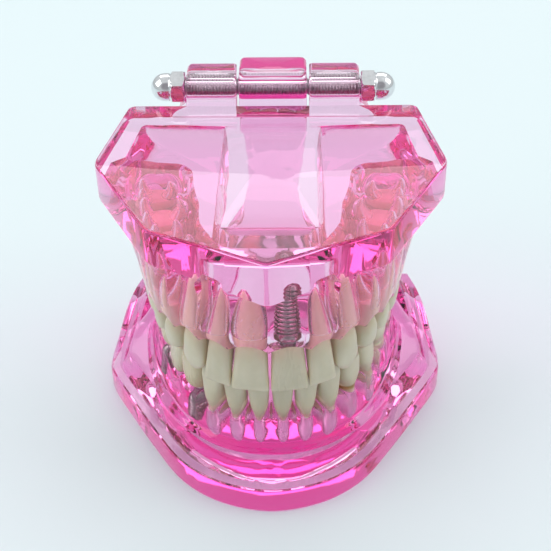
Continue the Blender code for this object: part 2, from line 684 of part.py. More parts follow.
# ---------------------------------------------------------------- assembly
bpy.context.view_layer.update()
for ob in upper_nodes:
    world = ob.matrix_world.copy()
    ob.parent = jaw_up
    ob.matrix_parent_inverse = jaw_up.matrix_world.inverted()
    ob.matrix_world = world
for ob in lower_nodes + [jaw_up]:
    world = ob.matrix_world.copy()
    ob.parent = root
    ob.matrix_world = world
# cutters follow the assembly, so that every cut stays where it is drawn
for ob in list(tools.objects):
    world = ob.matrix_world.copy()
    ob.parent = root
    ob.matrix_world = world
root.location.y = Y_SHIFT * MM
bpy.context.view_layer.update()
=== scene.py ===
"""Looks for the hinged clear-resin typodont: fine resin bodies, anatomical teeth, threaded
implants, a bridge and chromed domed nuts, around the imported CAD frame. Drawing units are mm."""
import math

import bpy
import bmesh
import numpy as np
from mathutils import Matrix, Vector

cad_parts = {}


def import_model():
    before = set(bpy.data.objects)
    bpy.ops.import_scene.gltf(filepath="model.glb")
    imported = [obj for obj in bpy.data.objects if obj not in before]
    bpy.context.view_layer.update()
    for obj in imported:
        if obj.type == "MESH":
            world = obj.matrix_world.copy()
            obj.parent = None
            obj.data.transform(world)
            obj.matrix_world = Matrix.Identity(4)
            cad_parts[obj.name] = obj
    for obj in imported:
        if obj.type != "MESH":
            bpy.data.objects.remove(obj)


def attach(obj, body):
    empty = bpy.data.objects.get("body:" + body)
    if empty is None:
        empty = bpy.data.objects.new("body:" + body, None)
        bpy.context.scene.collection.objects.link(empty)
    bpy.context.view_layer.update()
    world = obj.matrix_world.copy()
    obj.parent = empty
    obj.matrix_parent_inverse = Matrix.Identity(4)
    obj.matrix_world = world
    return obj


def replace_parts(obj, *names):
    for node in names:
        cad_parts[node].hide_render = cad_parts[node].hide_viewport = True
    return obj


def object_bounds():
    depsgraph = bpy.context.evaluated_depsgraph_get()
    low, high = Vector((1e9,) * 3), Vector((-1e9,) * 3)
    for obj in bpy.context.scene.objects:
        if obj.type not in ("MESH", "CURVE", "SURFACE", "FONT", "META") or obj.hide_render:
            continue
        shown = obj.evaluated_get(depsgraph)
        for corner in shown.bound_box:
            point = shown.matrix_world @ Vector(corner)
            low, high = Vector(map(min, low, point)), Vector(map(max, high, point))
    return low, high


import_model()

CAD_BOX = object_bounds()
MM = 0.001
Y_SHIFT = 0.8
scene = bpy.context.scene

PLATE_TOP, PLATE_BOTTOM, LOWER_WALL, FLOOR = 61.0, 52.2, 6.4, 9.4
AXIS_Y, AXIS_Z, BORE_R, LUG_IN, LUG_OUT, POST_HALF = 33.2, 63.0, 2.35, 8.4, 20.0, 7.8
UPPER_OUTLINE = [(0, -35.2), (24.2, -23.6), (37.9, 2.4), (33.0, 28.0), (-33.0, 28.0), (-37.9, 2.4), (-24.2, -23.6)]
LOWER_HALF = [(0, -40.6), (7.2, -39.4), (14.2, -36.2), (20.4, -30.8), (26.6, -21.6),
              (33.4, -10.2), (38.6, -0.6), (39.0, 3.6), (38.2, 9.0), (36.2, 19.0), (33.4, 28.6)]
ARCH = {"upper": (30.0, 50.0, 17.5), "lower": (27.3, 47.4, 17.5)}
ARCH_POWER = 2.25
TOOTH = {
    "central": dict(w=8.6, d=7.2, h=12.3, r=12.5), "lateral": dict(w=6.8, d=6.4, h=11.8, r=12.0),
    "canine": dict(w=7.7, d=8.0, h=11.2, r=14.0), "premolar": dict(w=7.0, d=8.9, h=8.6, r=12.0),
    "molar1": dict(w=10.1, d=10.6, h=8.0, r=11.5), "molar2": dict(w=9.3, d=10.2, h=7.0, r=10.5),
    "l_incisor": dict(w=5.4, d=5.9, h=11.0, r=10.0), "l_lateral": dict(w=5.8, d=6.1, h=11.0, r=10.5),
    "l_canine": dict(w=6.7, d=7.2, h=11.4, r=11.0), "l_premolar": dict(w=6.9, d=7.6, h=9.6, r=10.5),
    "l_molar1": dict(w=10.8, d=9.6, h=7.4, r=9.5), "l_molar2": dict(w=10.2, d=9.4, h=6.8, r=9.0)}
CUSPS = {"premolar": [(0, .50, 2.1), (0, -.54, 1.5)], "l_premolar": [(0, .40, 2.0), (0.1, -.55, 1.0)],
         "molar1": [(.45, .5, 1.8), (-.45, .5, 1.7), (.45, -.5, 1.7), (-.45, -.5, 1.2)],
         "molar2": [(.45, .5, 1.6), (-.45, .5, 1.5), (.42, -.5, 1.5), (-.45, -.5, .9)],
         "l_molar1": [(.48, .52, 1.5), (-.05, .55, 1.3), (-.55, .45, 1.1), (.42, -.5, 1.5), (-.42, -.5, 1.4)],
         "l_molar2": [(.45, .5, 1.4), (-.45, .5, 1.3), (.45, -.5, 1.3), (-.45, -.5, 1.2)]}
ROWS = {"upper": ["central", "lateral", "canine", "premolar", "premolar", "molar1", "molar2"],
        "lower": ["l_incisor", "l_lateral", "l_canine", "l_premolar", "l_premolar", "l_molar1", "l_molar2"]}
NAMES = ["central_incisor", "lateral_incisor", "canine", "first_premolar", "second_premolar", "first_molar", "second_molar"]
TILT = {"upper": [9, 8, 4, 0, -1, -2, -3], "lower": [4, 3, 1, 0, -3, -6, -8]}
GUM = {"upper": [38.2, 38.0, 38.0, 36.4, 35.8, 35.2, 34.4], "lower": [16.4, 16.3, 16.2, 16.9, 18.2, 19.8, 20.6]}
EDGE = {"upper": [25.4, 25.9, 26.0, 27.5, 27.7, 28.1, 28.3], "lower": [27.9, 27.8, 27.9, 27.3, 27.2, 27.1, 27.2]}
MISSING = {"upper": {("left", 0)}, "lower": {("right", 3), ("right", 4), ("right", 5)}}
IMPLANTS = [("upper", 1, 0, -1.1, 13.0, 2.25, "upper_implant"),
            ("lower", -1, 3, -1.3, 10.0, 2.05, "lower_front_implant"),
            ("lower", -1, 5, -2.0, 9.5, 2.15, "lower_rear_implant")]
BODY = {"upper": "upper_jaw", "lower": "lower_jaw"}


# ---------------------------------------------------------------- camera
def set_camera():
    """Same view as the studio picture: 37 degrees above the horizon, nearly square on, slightly rolled."""
    e, a, r = math.radians(35.94), math.radians(1.64), math.radians(-1.09)
    back = Vector((math.sin(a) * math.cos(e), -math.cos(a) * math.cos(e), math.sin(e)))
    target = Vector((0.0007, 0.0008, 0.0329))
    right = Vector((math.cos(a), math.sin(a), 0))
    up = right.cross(-back)
    rr, uu = math.cos(r) * right + math.sin(r) * up, -math.sin(r) * right + math.cos(r) * up
    cam = bpy.data.cameras.new("camera")
    cam.lens, cam.sensor_width = 1207.6 * 36.0 / 551.0, 36.0
    cam.clip_start, cam.clip_end = 0.01, 20.0
    ob = bpy.data.objects.new("camera", cam)
    ob.matrix_world = Matrix.Translation(target + back * 0.2711) @ Matrix((rr, uu, back)).transposed().to_4x4()
    scene.collection.objects.link(ob)
    scene.camera = ob


set_camera()


# ---------------------------------------------------------------- node materials
def new_material(name):
    m = bpy.data.materials.new(name)
    m.use_nodes = True
    nt = m.node_tree
    return m, nt, nt.nodes["Principled BSDF"], nt.nodes["Material Output"]


def node(nt, kind, **values):
    n = nt.nodes.new(kind)
    for k, v in values.items():
        if k in n.inputs:
            n.inputs[k].default_value = v
        else:
            setattr(n, k, v)
    return n


def noise_node(nt, coord, scale, detail=3.0, rough=0.5):
    n = nt.nodes.new("ShaderNodeTexNoise")
    n.inputs["Scale"].default_value = scale
    n.inputs["Detail"].default_value = detail
    n.inputs["Roughness"].default_value = rough
    nt.links.new(coord, n.inputs["Vector"])
    return n


def ranged(nt, value, lo, hi, a=0.3, b=0.7):
    n = nt.nodes.new("ShaderNodeMapRange")
    n.inputs["From Min"].default_value, n.inputs["From Max"].default_value = a, b
    n.inputs["To Min"].default_value, n.inputs["To Max"].default_value = lo, hi
    nt.links.new(value, n.inputs["Value"])
    return n.outputs["Result"]


def mixed(nt, fac, a, b, blend="MIX"):
    n = nt.nodes.new("ShaderNodeMix")
    n.data_type, n.blend_type = "RGBA", blend
    for value, sock in ((fac, n.inputs[0]), (a, n.inputs[6]), (b, n.inputs[7])):
        if isinstance(value, (int, float)):
            sock.default_value = value
        elif isinstance(value, tuple):
            sock.default_value = (*value, 1.0)
        else:
            nt.links.new(value, sock)
    return n.outputs[2]


def bump(nt, height, strength, distance, target):
    n = nt.nodes.new("ShaderNodeBump")
    n.inputs["Strength"].default_value = strength
    n.inputs["Distance"].default_value = distance
    nt.links.new(height, n.inputs["Height"])
    nt.links.new(n.outputs["Normal"], target)
    return n


def resin_material(name, absorb, density, lamp, cloud_a, cloud_b):
    """Cast acrylic: clear, tinted in its depth, with a faintly wavy hand-polished skin."""
    m, nt, p, out = new_material(name)
    co = nt.nodes.new("ShaderNodeTexCoord").outputs["Object"]
    cloud = noise_node(nt, co, 55.0, 2.0)
    colour = mixed(nt, ranged(nt, cloud.outputs["Fac"], 0, 1), cloud_a, cloud_b)
    nt.links.new(colour, p.inputs["Base Color"])
    p.inputs["Transmission Weight"].default_value = 1.0
    p.inputs["IOR"].default_value = 1.49
    fine = noise_node(nt, co, 900.0, 4.0, 0.6)
    frost = nt.nodes.new("ShaderNodeAttribute")
    frost.attribute_name = "frost"
    satin = nt.nodes.new("ShaderNodeMath")
    satin.operation = "MULTIPLY_ADD"
    nt.links.new(frost.outputs["Fac"], satin.inputs[0])
    nt.links.new(ranged(nt, cloud.outputs["Fac"], 0.16, 0.34), satin.inputs[1])
    nt.links.new(ranged(nt, fine.outputs["Fac"], 0.0, 0.035), satin.inputs[2])
    nt.links.new(satin.outputs[0], p.inputs["Roughness"])
    wave = noise_node(nt, co, 120.0, 1.5, 0.4)
    bump(nt, wave.outputs["Fac"], 0.3, 0.0002, p.inputs["Normal"])
    # lamp rays pass straight through, tinted, so that the roots inside are lit
    path = nt.nodes.new("ShaderNodeLightPath")
    clear = nt.nodes.new("ShaderNodeBsdfTransparent")
    clear.inputs["Color"].default_value = (*lamp, 1)
    mix = nt.nodes.new("ShaderNodeMixShader")
    nt.links.new(path.outputs["Is Shadow Ray"], mix.inputs[0])
    nt.links.new(p.outputs[0], mix.inputs[1])
    nt.links.new(clear.outputs[0], mix.inputs[2])
    nt.links.new(mix.outputs[0], out.inputs["Surface"])
    vol = nt.nodes.new("ShaderNodeVolumeAbsorption")
    vol.inputs["Color"].default_value = (*absorb, 1)
    vol.inputs["Density"].default_value = density
    nt.links.new(vol.outputs[0], out.inputs["Volume"])
    m.diffuse_color = (*cloud_a, 1)
    return m


def tooth_material(name, enamel, enamel2, root, root2, rough=0.34):
    """Enamel above the neck line and dull dentine below it, with stains carried by the mesh."""
    m, nt, p, out = new_material(name)
    co = nt.nodes.new("ShaderNodeTexCoord").outputs["Object"]
    soft = noise_node(nt, co, 260.0, 3.0)
    streak_map = nt.nodes.new("ShaderNodeMapping")
    streak_map.inputs["Scale"].default_value = (1.0, 1.0, 0.18)
    nt.links.new(co, streak_map.inputs["Vector"])
    streak = noise_node(nt, streak_map.outputs[0], 900.0, 3.0)
    crown = nt.nodes.new("ShaderNodeAttribute")
    crown.attribute_name = "crown"
    tint = nt.nodes.new("ShaderNodeAttribute")
    tint.attribute_name = "tint"
    top = mixed(nt, ranged(nt, soft.outputs["Fac"], 0, 1), enamel, enamel2)
    low = mixed(nt, ranged(nt, streak.outputs["Fac"], 0, 1), root, root2)
    both = mixed(nt, crown.outputs["Fac"], low, top)
    nt.links.new(mixed(nt, 1.0, both, tint.outputs["Color"], "MULTIPLY"), p.inputs["Base Color"])
    nt.links.new(ranged(nt, streak.outputs["Fac"], rough - 0.05, rough + 0.08), p.inputs["Roughness"])
    p.inputs["Subsurface Weight"].default_value = 0.25
    p.inputs["Subsurface Radius"].default_value = (1.0, 0.7, 0.4)
    p.inputs["Subsurface Scale"].default_value = 0.0012
    p.inputs["Coat Weight"].default_value = 0.12
    p.inputs["Coat Roughness"].default_value = 0.2
    bump(nt, streak.outputs["Fac"], 0.25, 0.00006, p.inputs["Normal"])
    m.diffuse_color = (*enamel, 1)
    return m


def metal_material(name, colour, rough, spread, grain, depth, stretch=(1, 1, 1)):
    m, nt, p, out = new_material(name)
    co = nt.nodes.new("ShaderNodeTexCoord").outputs["Object"]
    mp = nt.nodes.new("ShaderNodeMapping")
    mp.inputs["Scale"].default_value = stretch
    nt.links.new(co, mp.inputs["Vector"])
    n = noise_node(nt, mp.outputs[0], grain, 4.0, 0.6)
    dark = tuple(c * 0.82 for c in colour)
    nt.links.new(mixed(nt, ranged(nt, n.outputs["Fac"], 0, 1), dark, colour), p.inputs["Base Color"])
    p.inputs["Metallic"].default_value = 1.0
    nt.links.new(ranged(nt, n.outputs["Fac"], rough, rough + spread), p.inputs["Roughness"])
    bump(nt, n.outputs["Fac"], 0.3, depth, p.inputs["Normal"])
    m.diffuse_color = (*colour, 1)
    return m


M_UPPER = resin_material("upper_resin_look", (0.985, 0.13, 0.66), 41.0, (0.98, 0.86, 0.95), (0.995, 0.965, 0.985), (0.99, 0.945, 0.975))
M_LOWER = resin_material("lower_resin_look", (0.985, 0.12, 0.69), 32.0, (0.98, 0.78, 0.92), (0.99, 0.94, 0.975), (0.985, 0.91, 0.96))
M_TOOTH = tooth_material("natural_tooth_look", (0.575, 0.525, 0.385), (0.63, 0.58, 0.445), (0.84, 0.74, 0.57), (0.92, 0.84, 0.70))
M_CROWN = tooth_material("glazed_crown_look", (0.575, 0.52, 0.38), (0.62, 0.57, 0.435), (0.66, 0.62, 0.46), (0.70, 0.66, 0.50), 0.26)
M_FIXTURE = metal_material("implant_metal_look", (0.40, 0.37, 0.35), 0.14, 0.12, 2500.0, 0.00001, (1, 1, 6))
M_POST = metal_material("abutment_metal_look", (0.66, 0.64, 0.62), 0.18, 0.10, 2200.0, 0.00001, (1, 1, 8))
M_PIN = metal_material("threaded_pin_look", (0.36, 0.35, 0.36), 0.26, 0.15, 1800.0, 0.00001)
M_NUT = metal_material("chromed_nut_look", (0.86, 0.86, 0.88), 0.04, 0.07, 700.0, 0.000004)


# ---------------------------------------------------------------- mesh helpers
def world(v):
    v = np.asarray(v, float)
    return (v + np.array([0, Y_SHIFT, 0])) * MM


def make_mesh(name, verts, faces, mat=None, matrix=None):
    """verts in mm: in drawing coordinates, or in the piece's own frame with a matrix (mm) to place it."""
    me = bpy.data.meshes.new(name)
    me.from_pydata([tuple(v) for v in (np.asarray(verts, float) * MM if matrix is not None else world(verts))], [], faces)
    me.validate()
    ob = bpy.data.objects.new(name, me)
    scene.collection.objects.link(ob)
    if matrix is not None:
        w = matrix.copy()
        w.translation = (w.translation + Vector((0, Y_SHIFT, 0))) * MM
        ob.matrix_world = w
    if mat:
        me.materials.append(mat)
    return ob


def smooth(ob, degrees=None):
    me = ob.data
    me.shade_smooth()
    if degrees is not None:
        me.set_sharp_from_angle(angle=math.radians(degrees))
    return ob


def loft_data(rings, start=None, end=None):
    """(verts, faces) of a closed body through rings of equal length, ends closed on a middle point."""
    rings = [np.asarray(r, float) for r in rings]
    n = len(rings[0])
    verts = np.concatenate(rings)
    faces = []
    for k in range(len(rings) - 1):
        a, b = k * n, (k + 1) * n
        faces += [(a + i, a + (i + 1) % n, b + (i + 1) % n, b + i) for i in range(n)]
    caps = []
    for row, ring, tip, flip in ((0, rings[0], start, True), ((len(rings) - 1) * n, rings[-1], end, False)):
        tip = ring.mean(0) if tip is None else np.asarray(tip, float)
        t = len(verts) + len(caps)
        caps.append(tip)
        for i in range(n):
            f = (row + i, row + (i + 1) % n, t)
            faces.append(f[::-1] if flip else f)
    return np.concatenate([verts, np.array(caps)]), faces


def volume(verts, faces):
    v = np.asarray(verts)
    total = 0.0
    for f in faces:
        for k in range(1, len(f) - 1):
            total += np.dot(v[f[0]], np.cross(v[f[k]], v[f[k + 1]]))
    return total / 6


def outward(verts, faces, inward=False):
    if (volume(verts, faces) < 0) != inward:
        faces = [tuple(reversed(f)) for f in faces]
    return verts, faces


def joined(parts):
    verts, faces, n = [], [], 0
    for v, f in parts:
        verts.append(np.asarray(v, float))
        faces += [tuple(i + n for i in face) for face in f]
        n += len(v)
    return np.concatenate(verts), faces


def evaluated(ob):
    graph = bpy.context.evaluated_depsgraph_get()
    graph.update()
    made = bpy.data.meshes.new_from_object(ob.evaluated_get(graph))
    ob.modifiers.clear()
    old = ob.data
    ob.data = made
    bpy.data.meshes.remove(old)
    return ob


def boolean(ob, other, kind):
    m = ob.modifiers.new(kind.lower(), "BOOLEAN")
    m.operation, m.solver, m.object = kind, "EXACT", other
    evaluated(ob)
    bpy.data.objects.remove(other, do_unlink=True)
    return ob


def remeshed(ob, voxel_mm, rounds):
    m = ob.modifiers.new("remesh", "REMESH")
    m.mode, m.voxel_size = "VOXEL", voxel_mm * MM
    m.use_smooth_shade = True
    s = ob.modifiers.new("smooth", "SMOOTH")
    s.factor, s.iterations = 0.5, rounds
    return evaluated(ob)


def hermite(rows):
    """Smooth monotone curve through rows (t, a, b, ...)."""
    rows = sorted(rows)
    x = np.array([r[0] for r in rows], float)
    y = np.array([r[1:] for r in rows], float)
    h = np.diff(x)[:, None]
    d = np.diff(y, axis=0) / h
    m = np.zeros_like(y)
    m[0], m[-1] = d[0], d[-1]
    for i in range(1, len(x) - 1):
        ok = d[i - 1] * d[i] > 0
        w1, w2 = 2 * h[i] + h[i - 1], h[i] + 2 * h[i - 1]
        with np.errstate(divide="ignore", invalid="ignore"):
            hm = (w1 + w2) / (w1 / d[i - 1] + w2 / d[i])
        m[i] = np.where(ok, hm, 0)

    def at(t):
        i = int(np.clip(np.searchsorted(x, t) - 1, 0, len(x) - 2))
        s = float(np.clip((t - x[i]) / (x[i + 1] - x[i]), 0, 1))
        hh = x[i + 1] - x[i]
        return ((2 * s ** 3 - 3 * s * s + 1) * y[i] + (s ** 3 - 2 * s * s + s) * hh * m[i]
                + (-2 * s ** 3 + 3 * s * s) * y[i + 1] + (s ** 3 - s * s) * hh * m[i + 1])
    return at


def closed_spline(points, per):
    """Centripetal-like smooth closed curve through points."""
    p = np.asarray(points, float)
    n, out = len(p), []
    for i in range(n):
        p0, p1, p2, p3 = p[i - 1], p[i], p[(i + 1) % n], p[(i + 2) % n]
        l = np.linalg.norm(p2 - p1)
        t1 = (p2 - p0) / (np.linalg.norm(p2 - p1) + np.linalg.norm(p1 - p0)) * l
        t2 = (p3 - p1) / (np.linalg.norm(p3 - p2) + np.linalg.norm(p2 - p1)) * l
        for k in range(per):
            s = k / per
            out.append((2 * s ** 3 - 3 * s * s + 1) * p1 + (s ** 3 - 2 * s * s + s) * t1
                       + (-2 * s ** 3 + 3 * s * s) * p2 + (s ** 3 - s * s) * t2)
    return np.array(out)


def step(a, b, x):
    t = np.clip((np.asarray(x, float) - a) / (b - a), 0, 1)
    return t * t * (3 - 2 * t)


# ---------------------------------------------------------------- arches
class Arch:
    def __init__(self, jaw):
        self.a, self.b, self.yc = ARCH[jaw]
        t = np.linspace(0, math.pi / 2, 1601)
        e = 2 / ARCH_POWER
        self.p = np.stack([self.a * np.sin(t) ** e, self.yc - self.b * np.maximum(0, np.cos(t)) ** e], 1)
        self.s = np.concatenate([[0], np.cumsum(np.linalg.norm(np.diff(self.p, axis=0), axis=1))])

    def point(self, s):
        q = abs(s)
        x, y = np.interp(q, self.s, self.p[:, 0]), np.interp(q, self.s, self.p[:, 1])
        if q > self.s[-1]:
            y += q - self.s[-1]
        return np.array([math.copysign(x, s) if s else 0.0, y])

    def frame(self, s, h=0.6):
        tan = self.point(s + h) - self.point(s - h)
        tan /= np.linalg.norm(tan)
        return self.point(s), np.array([tan[1], -tan[0]]), tan


ARCHES = {j: Arch(j) for j in ("upper", "lower")}


def stations(jaw):
    out, s = [], 0.0
    for i, kind in enumerate(ROWS[jaw]):
        w = TOOTH[kind]["w"]
        out.append((s + w / 2, w, TOOTH[kind]["d"], i))
        s += w
    return out


STATIONS = {j: stations(j) for j in ROWS}


def along(jaw, s, values):
    pts = STATIONS[jaw]
    return float(np.interp(abs(s), [p[0] for p in pts], [values[p[3]] for p in pts]))


def tooth_matrix(jaw, s, i, kind):
    p, nor, tan = ARCHES[jaw].frame(s)
    k = TOOTH[kind]
    up = -1 if jaw == "upper" else 1
    c = p - nor * (k["d"] / 2 - 0.1)
    X, Y, Z = Vector((tan[0], tan[1], 0)), Vector((nor[0], nor[1], 0)), Vector((0, 0, up))
    if X.cross(Y).dot(Z) < 0:
        X = -X
    tilt = math.radians(TILT[jaw][i])
    Z2 = (Z * math.cos(tilt) + Y * math.sin(tilt)).normalized()
    Y2 = (Y * math.cos(tilt) - Z * math.sin(tilt)).normalized()
    at = Vector((c[0], c[1], EDGE[jaw][i] - up * k["h"])) - Y * (k["h"] * math.sin(tilt))
    return Matrix.Translation(at) @ Matrix((X, Y2, Z2)).transposed().to_4x4()


# ---------------------------------------------------------------- teeth
N_AROUND = 56


def section(a, b, off, t, p=2.3, lingual=0.8, n=N_AROUND, dx=0.0, dy=0.0):
    ang = 2 * np.pi * (np.arange(n) + 0.5) / n
    c, s = np.cos(ang), np.sin(ang)
    x = a * np.sign(c) * np.abs(c) ** (2 / p)
    y = b * np.sign(s) * np.abs(s) ** (2 / p)
    x = x * (1 - (1 - lingual) * (0.5 - 0.5 * y / max(b, 1e-6)))
    return np.stack([x + dx, y + off + dy, np.full(n, t)], 1)


def occlusal(kind, u, v, base, h):
    """Chewing surface: cusps that rise from the base level, with grooves between them."""
    z = np.full_like(u, base)
    for cu, cv, ch in CUSPS[kind]:
        z = z + ch * np.exp(-(((u - cu) / 0.40) ** 2 + ((v - cv) / 0.34) ** 2))
    z = z - 0.45 * np.exp(-((v - 0.0) / 0.10) ** 2) * np.exp(-(u / 0.75) ** 4)
    if "molar1" in kind or "molar2" in kind:
        z = z - 0.40 * np.exp(-((u - 0.0) / 0.09) ** 2) * np.exp(-(v / 0.95) ** 4)
    return np.minimum(z, h)


def neck_share(kind):
    return {"central": 0.74, "lateral": 0.72, "canine": 0.74, "premolar": 0.74, "molar1": 0.80, "molar2": 0.82,
            "l_incisor": 0.60, "l_lateral": 0.60, "l_canine": 0.66, "l_premolar": 0.68, "l_molar1": 0.80,
            "l_molar2": 0.82}[kind]


def tooth_curve(kind, wide=0.0, crown_only=False, full=False):
    """Half width, half depth, shift to the cheek, squareness and tongue-side share, by height."""
    k = TOOTH[kind]
    a, b, h, r = k["w"] / 2 - 0.07 + wide, k["d"] / 2, k["h"], k["r"]
    a *= 1.035 if kind in ("central", "lateral", "l_incisor", "l_lateral") else 1.0
    na = neck_share(kind) + (0.10 if crown_only and kind.startswith("l_") else 0.0)
    front = kind not in CUSPS
    rows = []
    if not crown_only:
        rows += [(-r, .02, .02, 0, 2.0, 1), (-r + .12, .11, .12, 0, 2.0, 1), (-r + .5, .20, .22, 0, 2.0, 1),
                 (-.80 * r, .44 * na / .74, .46, 0, 2.0, .95), (-.5 * r, .66 * na / .74, .68, 0, 2.1, .9),
                 (-.25 * r, .745 * na / .74, .80, 0, 2.1, .88), (-.6, na * .985, .88, 0, 2.15, .86)]
    else:
        rows += [(.02, na * .80, .72, 0, 2.2, .84), (.12, na * .95, .84, 0, 2.2, .84)]
    rows += [(.45, na + .02, .90, .0, 2.2, .82)]
    if front:
        rows += [(.14 * h, na + .42 * (1 - na), .95, .03, 2.2, .66), (.30 * h, na + .70 * (1 - na), .91, .08, 2.3, .62),
                 (.50 * h, na + .88 * (1 - na), .77, .17, 2.4, .62)]
        if "canine" in kind:
            rows += [(.66 * h, 1.0, .57, .29, 2.6, .64), (.78 * h, .90, .45, .36, 2.6, .66), (.88 * h, .64, .34, .40, 2.4, .7),
                     (.95 * h, .34, .22, .42, 2.2, .8), (.985 * h, .16, .11, .42, 2.0, .9), (h, .03, .03, .42, 2, 1)]
        else:
            thin = .09 if kind == "central" else 0.0     # hollowed on the tongue side, clear of the lower edges
            rows += [(.72 * h, 1.0, .56 - thin, .31 + thin, 2.8, .64), (.88 * h, .99, .37 - .8 * thin, .42 + .8 * thin, 3.2, .7), (.955 * h, .965, .27, .46, 3.6, .76),
                     (.985 * h, .92, .20, .47, 3.6, .8), (.997 * h, .84, .12, .47, 3.4, .85), (h, .70, .05, .47, 3, .9)]
    else:
        rows += [(.18 * h, na + .10, .97, 0, 2.5, .78), (.36 * h, .98, 1.0, 0, 2.8, .80), (.52 * h, 1.0, .97, 0, 3.0, .81)]
    f = hermite([(t, x * a, y * b, o * b, p, l) for t, x, y, o, p, l in rows])
    return f, a, b, h, r


def crown_rings(kind, f, a, b, h, t0, count):
    """Rings from t0 up; for back teeth the wall rises to a rim that follows the cusps, then the chewing surface."""
    rings = []
    if kind not in CUSPS:
        u = np.linspace(0, 1, count)
        u = 1 - (1 - u) ** 1.5
        for t in t0 + (h - t0) * u:
            A, B, O, P, L = f(t)
            rings.append(section(A, B, O, t, P, L))
        end = (0, rings[-1][:, 1].mean(), h + 0.01)
        for ring in rings:                                   # shallow grooves down the lip face
            z = ring[0, 2]
            w = step(.25 * h, .6 * h, z) * (1 - step(.93 * h, h, z)) * (0.10 if "canine" not in kind else 0.05)
            lip = step(.1, .6, ring[:, 1] / b)
            for g in (-.34, .34):
                ring[:, 1] -= w * lip * np.exp(-((ring[:, 0] / a - g) / .13) ** 2)
            fossa = step(.30 * h, .62 * h, z) * (1 - step(.9 * h, h, z)) * 0.45   # hollow on the tongue side
            ring[:, 1] += fossa * step(.0, -.5, (ring[:, 1] - O) / b) * np.exp(-(ring[:, 0] / a / .42) ** 2)
        return rings, end
    top = max(c[2] for c in CUSPS[kind])
    base = h - top
    t1 = .52 * h
    for t in np.linspace(t0, t1, max(4, count // 2)):
        A, B, O, P, L = f(t)
        rings.append(section(A, B, O, t, P, L))
    for sc in list(np.linspace(1.0, .90, 9)[1:]) + list(np.linspace(.86, .06, 17)):
        q = section(a * sc, .97 * b * sc * (1 - .10 * (1 - sc)), 0, 0, 3.0, .82)
        z = occlusal(kind, q[:, 0] / a, q[:, 1] / b, base, h)
        if sc >= .90:
            w = math.sin((1 - sc) / .10 * math.pi / 2)
            z = t1 + (z - t1) * w * .98
            k = 1 - .075 * (1 - math.cos((1 - sc) / .10 * math.pi / 2))
            q = section(a * k, .97 * b * k, 0, 0, 3.0, .82)
        q[:, 2] = z
        rings.append(q)
    return rings, (0, 0, float(occlusal(kind, np.zeros(1), np.zeros(1), base, h)[0]))


ROOTS = {"molar1": [(.42, .45, .36, .30, .9, 1.0), (-.42, .45, .34, .28, -.9, .8), (0, -.48, .46, .34, 0, -2.4)],
         "molar2": [(.38, .42, .34, .30, .5, .7), (-.38, .42, .34, .28, -.5, .6), (0, -.46, .44, .34, 0, -1.7)],
         "premolar": [(0, .42, .50, .36, 0, .7), (0, -.42, .50, .36, 0, -.7)],
         "l_molar1": [(.42, 0, .34, .68, 1.1, 0), (-.42, 0, .34, .64, -.9, 0)],
         "l_molar2": [(.38, 0, .34, .64, .5, 0), (-.38, 0, .34, .60, -.9, 0)]}


def root_rings(kind, spec, grow=0.0, top=0.6, inside=0.0):
    """One root of a tooth with several, leaning outwards and curving back a little at its tip."""
    k = TOOTH[kind]
    a, b, r = k["w"] / 2 - .17, k["d"] / 2, k["r"]
    cu, cv, ra, rb, sx, sy = spec
    rings = []
    for q in np.concatenate([np.linspace(0, .9, 16), [.94, .97, .99, 1.0]]):
        t = top - (r + top) * q
        s = math.sqrt(max(0.0, 1 - q ** 2.6)) * (1 - .42 * q) + .02
        g = grow if q > .22 else grow + (inside - grow) * (1 - step(.1, .22, q))
        lean = math.sin(q * 2.2) * 1.08
        rings.append(section(ra * a * s + g, rb * b * s + g, 0, t - (g if q > .95 else 0) * (q - .95) * 20, 2.1, .95, 32,
                             cu * a * .92 + sx * lean, cv * b * .86 + sy * lean))
    return rings


def tooth_parts(kind, crown_only=False, wide=0.0):
    """(list of closed bodies, needs a remesh)."""
    f, a, b, h, r = tooth_curve(kind, wide, crown_only)
    if crown_only:
        rings, end = crown_rings(kind, f, a, b, h, .02, 34)
        return [outward(*loft_data(rings, (0, 0, 0.0), end))], False
    if kind in ROOTS:
        trunk = .30 * r if "molar1" in kind or "molar2" in kind else .42 * r
        rings = [section(na * a, nb * b, 0, t, 2.3, .86) for t, na, nb in
                 ((-trunk, .30, .40), (-trunk + .25, neck_share(kind) * .78, .72), (-trunk * .6, neck_share(kind) * .90, .82), (-.4, neck_share(kind), .88))]
        more, end = crown_rings(kind, f, a, b, h, .1, 30)
        bodies = [outward(*loft_data(rings + more, None, end))]
        bodies += [outward(*loft_data(root_rings(kind, s, top=.4))) for s in ROOTS[kind]]
        return bodies, True
    rings = []
    for t in np.concatenate([[-r, -r + .05, -r + .12, -r + .25, -r + .5], np.linspace(-r + .9, -.4, 22)]):
        A, B, O, P, L = f(t)
        rings.append(section(A, B, O, t, P, L))
    more, end = crown_rings(kind, f, a, b, h, 0.0, 40)
    return [outward(*loft_data(rings + more, (0, 0, -r - .02), end))], False


def socket_parts(kind, gap=0.16):
    """The thin space around each root, closed inside the tooth just under the gum."""
    k = TOOTH[kind]
    if kind in ROOTS:
        return [loft_data([r for r in root_rings(kind, s, gap, -.8, -.35)]) for s in ROOTS[kind]]
    f, a, b, h, r = tooth_curve(kind)
    rings = []
    for t in np.concatenate([[-r - .12, -r - .05, -r + .12, -r + .5], np.linspace(-r + 1.0, -2.2, 16), [-1.7, -1.3, -1.0]]):
        A, B, O, P, L = f(max(t, -r + .02))
        g = gap if t < -2.0 else gap - (gap + .35) * step(-2.0, -1.0, t)
        if t < -r:
            A, B = .12 * a, .12 * b
            g = gap * (.6 if t > -r - .1 else .3)
        rings.append(section(A + g, B + g, O, t, P, L, 40))
    return [loft_data(rings)]


